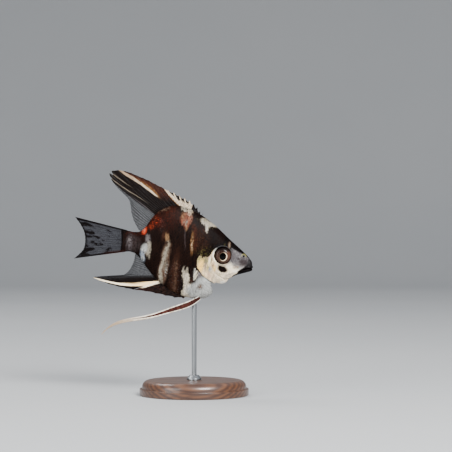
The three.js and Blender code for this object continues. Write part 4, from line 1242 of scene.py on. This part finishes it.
def eyeMesh(side, paint):
    # a squarish ellipse turned about the eye's own axis: radius R sin^e, depth D cos^e
    e = 2 / eye["squareness"]
    polar = np.linspace(0, np.pi, eye["grid"][0])[:, None]
    turn = np.linspace(0, 2 * np.pi, eye["grid"][1], endpoint=False)[None, :]
    radius = eye["radius"] * np.sin(polar) ** e
    depth = eye["depth"] * np.sign(np.cos(polar)) * np.abs(np.cos(polar)) ** e
    u, w = eye["u"] + radius * np.cos(turn), eye["w"] + radius * np.sin(turn)
    y = side * (eye["centre"] + depth + 0 * turn)
    points = np.stack([u, y, w], -1)
    number = np.arange(points.shape[0] * points.shape[1]).reshape(points.shape[:2])
    number[0], number[-1] = number[0, 0], number[-1, 0]
    triangles = number.ravel()[gridTriangles(*points.shape[:2], closeColumns=True)]
    name = "eyeball_" + sideNames[side]
    return addMesh(name, toRow(points.reshape(-1, 3)), triangles, paint)


def eyePaint():
    paint = Paint("eye")
    place = fishPlace(paint)
    u, _, w = paint.axes(place)
    flecks = paint.grain(place, 3.0)
    du, dw = u - iris["pupil"][0], w - iris["pupil"][1]
    a, b = du / iris["pupilSize"][0], dw / iris["pupilSize"][1]
    r = (a * a + b * b) ** 0.5
    # the iris: brown with dark flecks, painted darker towards the top as shade from the orbit above
    paint.ground(soft(flecks - (w - eye["w"]) * 0.5, 1.2), "irisDark", "irisBrown")
    side = paint.node("CombineXYZ", None, {0: u, 1: w, 2: 1.0})
    # a painted highlight: a lighter, warm brown patch on the iris's upper front
    paint.cover(spot(side, (14.2, 1.3), (1.1, 1.6), -20, 0.7) * 0.75, "irisWarm")
    outer = ((u - eye["u"]) ** 2 + (w - eye["w"]) ** 2) ** 0.5
    # painted shade: the top of the iris darkened further, under the orbit
    paint.cover(soft(w - eye["w"] - 1.6, 0.5) * soft(outer - 1.9, 0.3) * 0.85, "irisTop")
    # painted shade: a dark ring round the eyeball's edge, lighter towards the front
    paint.cover(soft(outer - 2.62, 0.16) * (0.9 - soft(du, 1.5) * 0.4), "irisRim")
    lit = soft(du * 0.7 - dw * 0.2 + 0.05, 0.9)
    ring = soft(lit * 0.11 - 0.01 - abs(r - 1.2 - lit * 0.1), 0.06)
    paint.cover(soft(1.62 - r, 0.25) * soft(r - 1.1, 0.1) * 0.35, "pupilRim")
    paint.cover(ring * (0.15 + lit * 0.85), "irisRing")
    paint.cover(soft(1.1 - r, 0.06), "pupil")
    paint.finish(Roughness=0.2, SpecularIORLevel=0.05, CoatWeight=0.05, CoatRoughness=0.04,
                 Normal=paint.bump(flecks * soft(r - 1.2, 0.2), 0.00002, 0.4))
    return paint


eyeLook = eyePaint()
for side, word in sideNames.items():
    settle(eyeMesh(side, eyeLook), "eye", "eye_" + word)
print("the eyes are made")


stand = {"x": 10.0, "radius": 18.0, "height": 5.0, "edge": 0.8, "round": 2.2, "rod": 0.8, "foot": 2.0,
         "top": 35.6, "hole": 1.1, "collar": 2.4, "collarHeight": 1.6}
segments = {"base": 160, "collar": 72, "rod": 40, "studio": 96}
sharp = 40  # degrees between faces that makes a crease


def turnedMesh(name, outline, piece, paint):
    # the outline (radius, height) turned about the rod's axis; points on the axis become one
    radius, height = np.array(outline, float).T
    turn = np.linspace(0, 2 * np.pi, segments[piece], endpoint=False)
    x = stand["x"] + radius[:, None] * np.cos(turn)
    y = radius[:, None] * np.sin(turn)
    z = height[:, None] + 0 * turn
    points = np.stack([x, y, z], -1) / 1000
    number = np.arange(z.size).reshape(z.shape)
    number[radius == 0] = number[radius == 0][:, :1]
    closed = radius[0] > 0
    triangles = number.ravel()[gridTriangles(*z.shape, closeRows=closed, closeColumns=True)]
    return addMesh(name, points.reshape(-1, 3), triangles, paint, crease=sharp)


def arc(middle, radius, first, last, count):
    # points on a circle between two angles in degrees
    turn = np.radians(np.linspace(first, last, count))
    return np.stack([middle[0] + radius * np.cos(turn), middle[1] + radius * np.sin(turn)], -1).tolist()


def woodPaint():
    paint = Paint("stand_wood")
    place = paint.node("TexCoord", output="Object")
    sockets = {"Vector": place, "Location": (0.012, 0.034, -0.06), "Rotation": (0.1, 1.5, 0.25)}
    log = paint.node("Mapping", {"vector_type": "TEXTURE"}, sockets)
    fine = paint.grain(log, 900.0, (1, 1, 0.06), 4.0)
    wander = paint.grain(log, 60.0, (1, 1, 0.3), 2.0)
    across, deep, _ = paint.axes(log)
    middle = (across ** 2 + deep ** 2) ** 0.5
    rings = paint.maths("SINE", middle * 5200.0 + wander * 2.2)
    paint.ground(soft(rings, 1.3), "wood", "woodPale")
    paint.cover(soft(fine - 0.3, 0.5) * 0.5, "woodGrain")
    paint.finish(Roughness=0.42 + fine * 0.05, CoatWeight=0.35, CoatRoughness=0.18,
                 Normal=paint.bump(rings * 0.3 + fine, 0.00004, 0.4))
    return paint


def steelPaint():
    paint = Paint("stand_steel")
    place = paint.node("TexCoord", output="Object")
    brushed = paint.grain(place, 2500.0, (1, 1, 0.05), 3.0)
    paint.colour = tints["steel"]
    paint.finish(Metallic=1.0, Roughness=0.34 + brushed * 0.05,
                 Normal=paint.bump(brushed, 0.000004, 0.5))
    return paint


wood, steel = woodPaint(), steelPaint()
r, h = stand["radius"], stand["height"]
baseOutline = [(0, 0), (r - 2, 0), (r - 0.4, 0), *arc((r - 0.35, 0.35), 0.35, -90, 0, 6),
               (r, 1.0), (r, 2.1),
               *arc((r - 0.12, 2.12), 0.12, 0, 90, 4), (r - stand["edge"] + 0.06, 2.26),
               *arc((r - stand["edge"] - stand["round"], h - stand["round"]), stand["round"], 0, 90, 18),
               (r - 6, h), (8, h), (3, h), *arc((stand["hole"] + 0.2, h - 0.2), 0.2, 90, 180, 4),
               (stand["hole"], stand["foot"] + 0.2), (stand["hole"], stand["foot"]), (0, stand["foot"])]
settle(turnedMesh("base_turned", baseOutline, "base", wood), "stand_wood", "stand_base")
low, top = h, h + stand["collarHeight"]
collarOutline = [(stand["hole"], low), (stand["collar"] - 0.1, low), (stand["collar"], low + 0.1),
                 (stand["collar"], low + 0.5), *arc((stand["collar"] - 0.12, low + 0.5), 0.12, 0, 60, 4),
                 (stand["hole"] + 0.55, top - 0.08), (stand["hole"] + 0.45, top), (stand["hole"], top)]
settle(turnedMesh("collar_turned", collarOutline, "collar", steel), "stand_steel", "stand_collar")
rodOutline = [(0, stand["foot"]), (stand["rod"], stand["foot"]), (stand["rod"], 12), (stand["rod"], 24),
              (stand["rod"], stand["top"]), (0, stand["top"])]
settle(turnedMesh("rod_turned", rodOutline, "rod", steel), "stand_steel", "stand_rod")
print("the stand is turned")


studio = {"floorRadius": 1.1, "curve": 0.5, "wall": 0.9}


def studioMesh():
    # a flat floor that curves up all round into a wall
    outline = np.array([(0, 0), (0.3, 0)]
                       + arc((studio["floorRadius"], studio["curve"]), studio["curve"], -90, 0, 24)
                       + [(studio["floorRadius"] + studio["curve"], studio["curve"] + studio["wall"])])
    turn = np.linspace(0, 2 * np.pi, segments["studio"], endpoint=False)
    points = np.stack([outline[:, :1] * np.cos(turn), outline[:, :1] * np.sin(turn),
                       outline[:, 1:] + 0 * turn], -1)
    number = np.arange(len(outline) * len(turn)).reshape(-1, len(turn))
    number[0] = number[0, 0]
    triangles = number.ravel()[gridTriangles(*number.shape, closeColumns=True)]
    paint = Paint("studio")
    place = paint.node("TexCoord", output="Object")
    mottle = paint.grain(place, 6.0, (1, 1, 1), 2.0)
    paint.ground(soft(mottle, 1.5), "floor", "floorPale")
    paint.finish(Roughness=0.9)
    return addMesh("floor", points.reshape(-1, 3), triangles, paint)


studioMesh()


lamps = {
    "key": {"place": (0.28, -0.55, 0.42), "width": 0.28, "power": 13.0},
    "fill": {"place": (-0.45, -0.4, 0.22), "width": 0.4, "power": 3.5},
    "rim": {"place": (-0.35, 0.35, 0.75), "width": 0.35, "power": 4.0},
}
sky = {"colour": (0.9, 0.93, 1.0, 1), "strength": 1.0}
view = {"place": (0.0205, -0.6, 0.0558), "lens": 144.8, "sensor": 36.0, "near": 0.01}


def lamp(name, place, aim, width, power):
    light = bpy.data.lights.new(name, "AREA")
    light.size, light.energy = width, power
    made = bpy.data.objects.new(name, light)
    made.location = place
    heading = np.array(aim, float) - np.array(place, float)
    sideways = math.atan2(-heading[0], heading[1])
    made.rotation_euler = (math.atan2(math.hypot(heading[0], heading[1]), -heading[2]), 0, sideways)
    bpy.context.scene.collection.objects.link(made)


for name, spec in lamps.items():
    lamp(name, spec["place"], (0, 0, 0.045), spec["width"], spec["power"])
world = bpy.data.worlds.new("studio_air")
bpy.context.scene.world = world
world.use_nodes = True
air = world.node_tree.nodes["Background"].inputs
air["Color"].default_value, air["Strength"].default_value = sky["colour"], sky["strength"]

camera = bpy.data.cameras.new("camera")
camera.lens, camera.sensor_width, camera.clip_start = view["lens"], view["sensor"], view["near"]
cameraObject = bpy.data.objects.new("camera", camera)
cameraObject.location, cameraObject.rotation_euler = view["place"], (math.pi / 2, 0, 0)
bpy.context.scene.collection.objects.link(cameraObject)
bpy.context.scene.camera = cameraObject

print("the studio is lit")
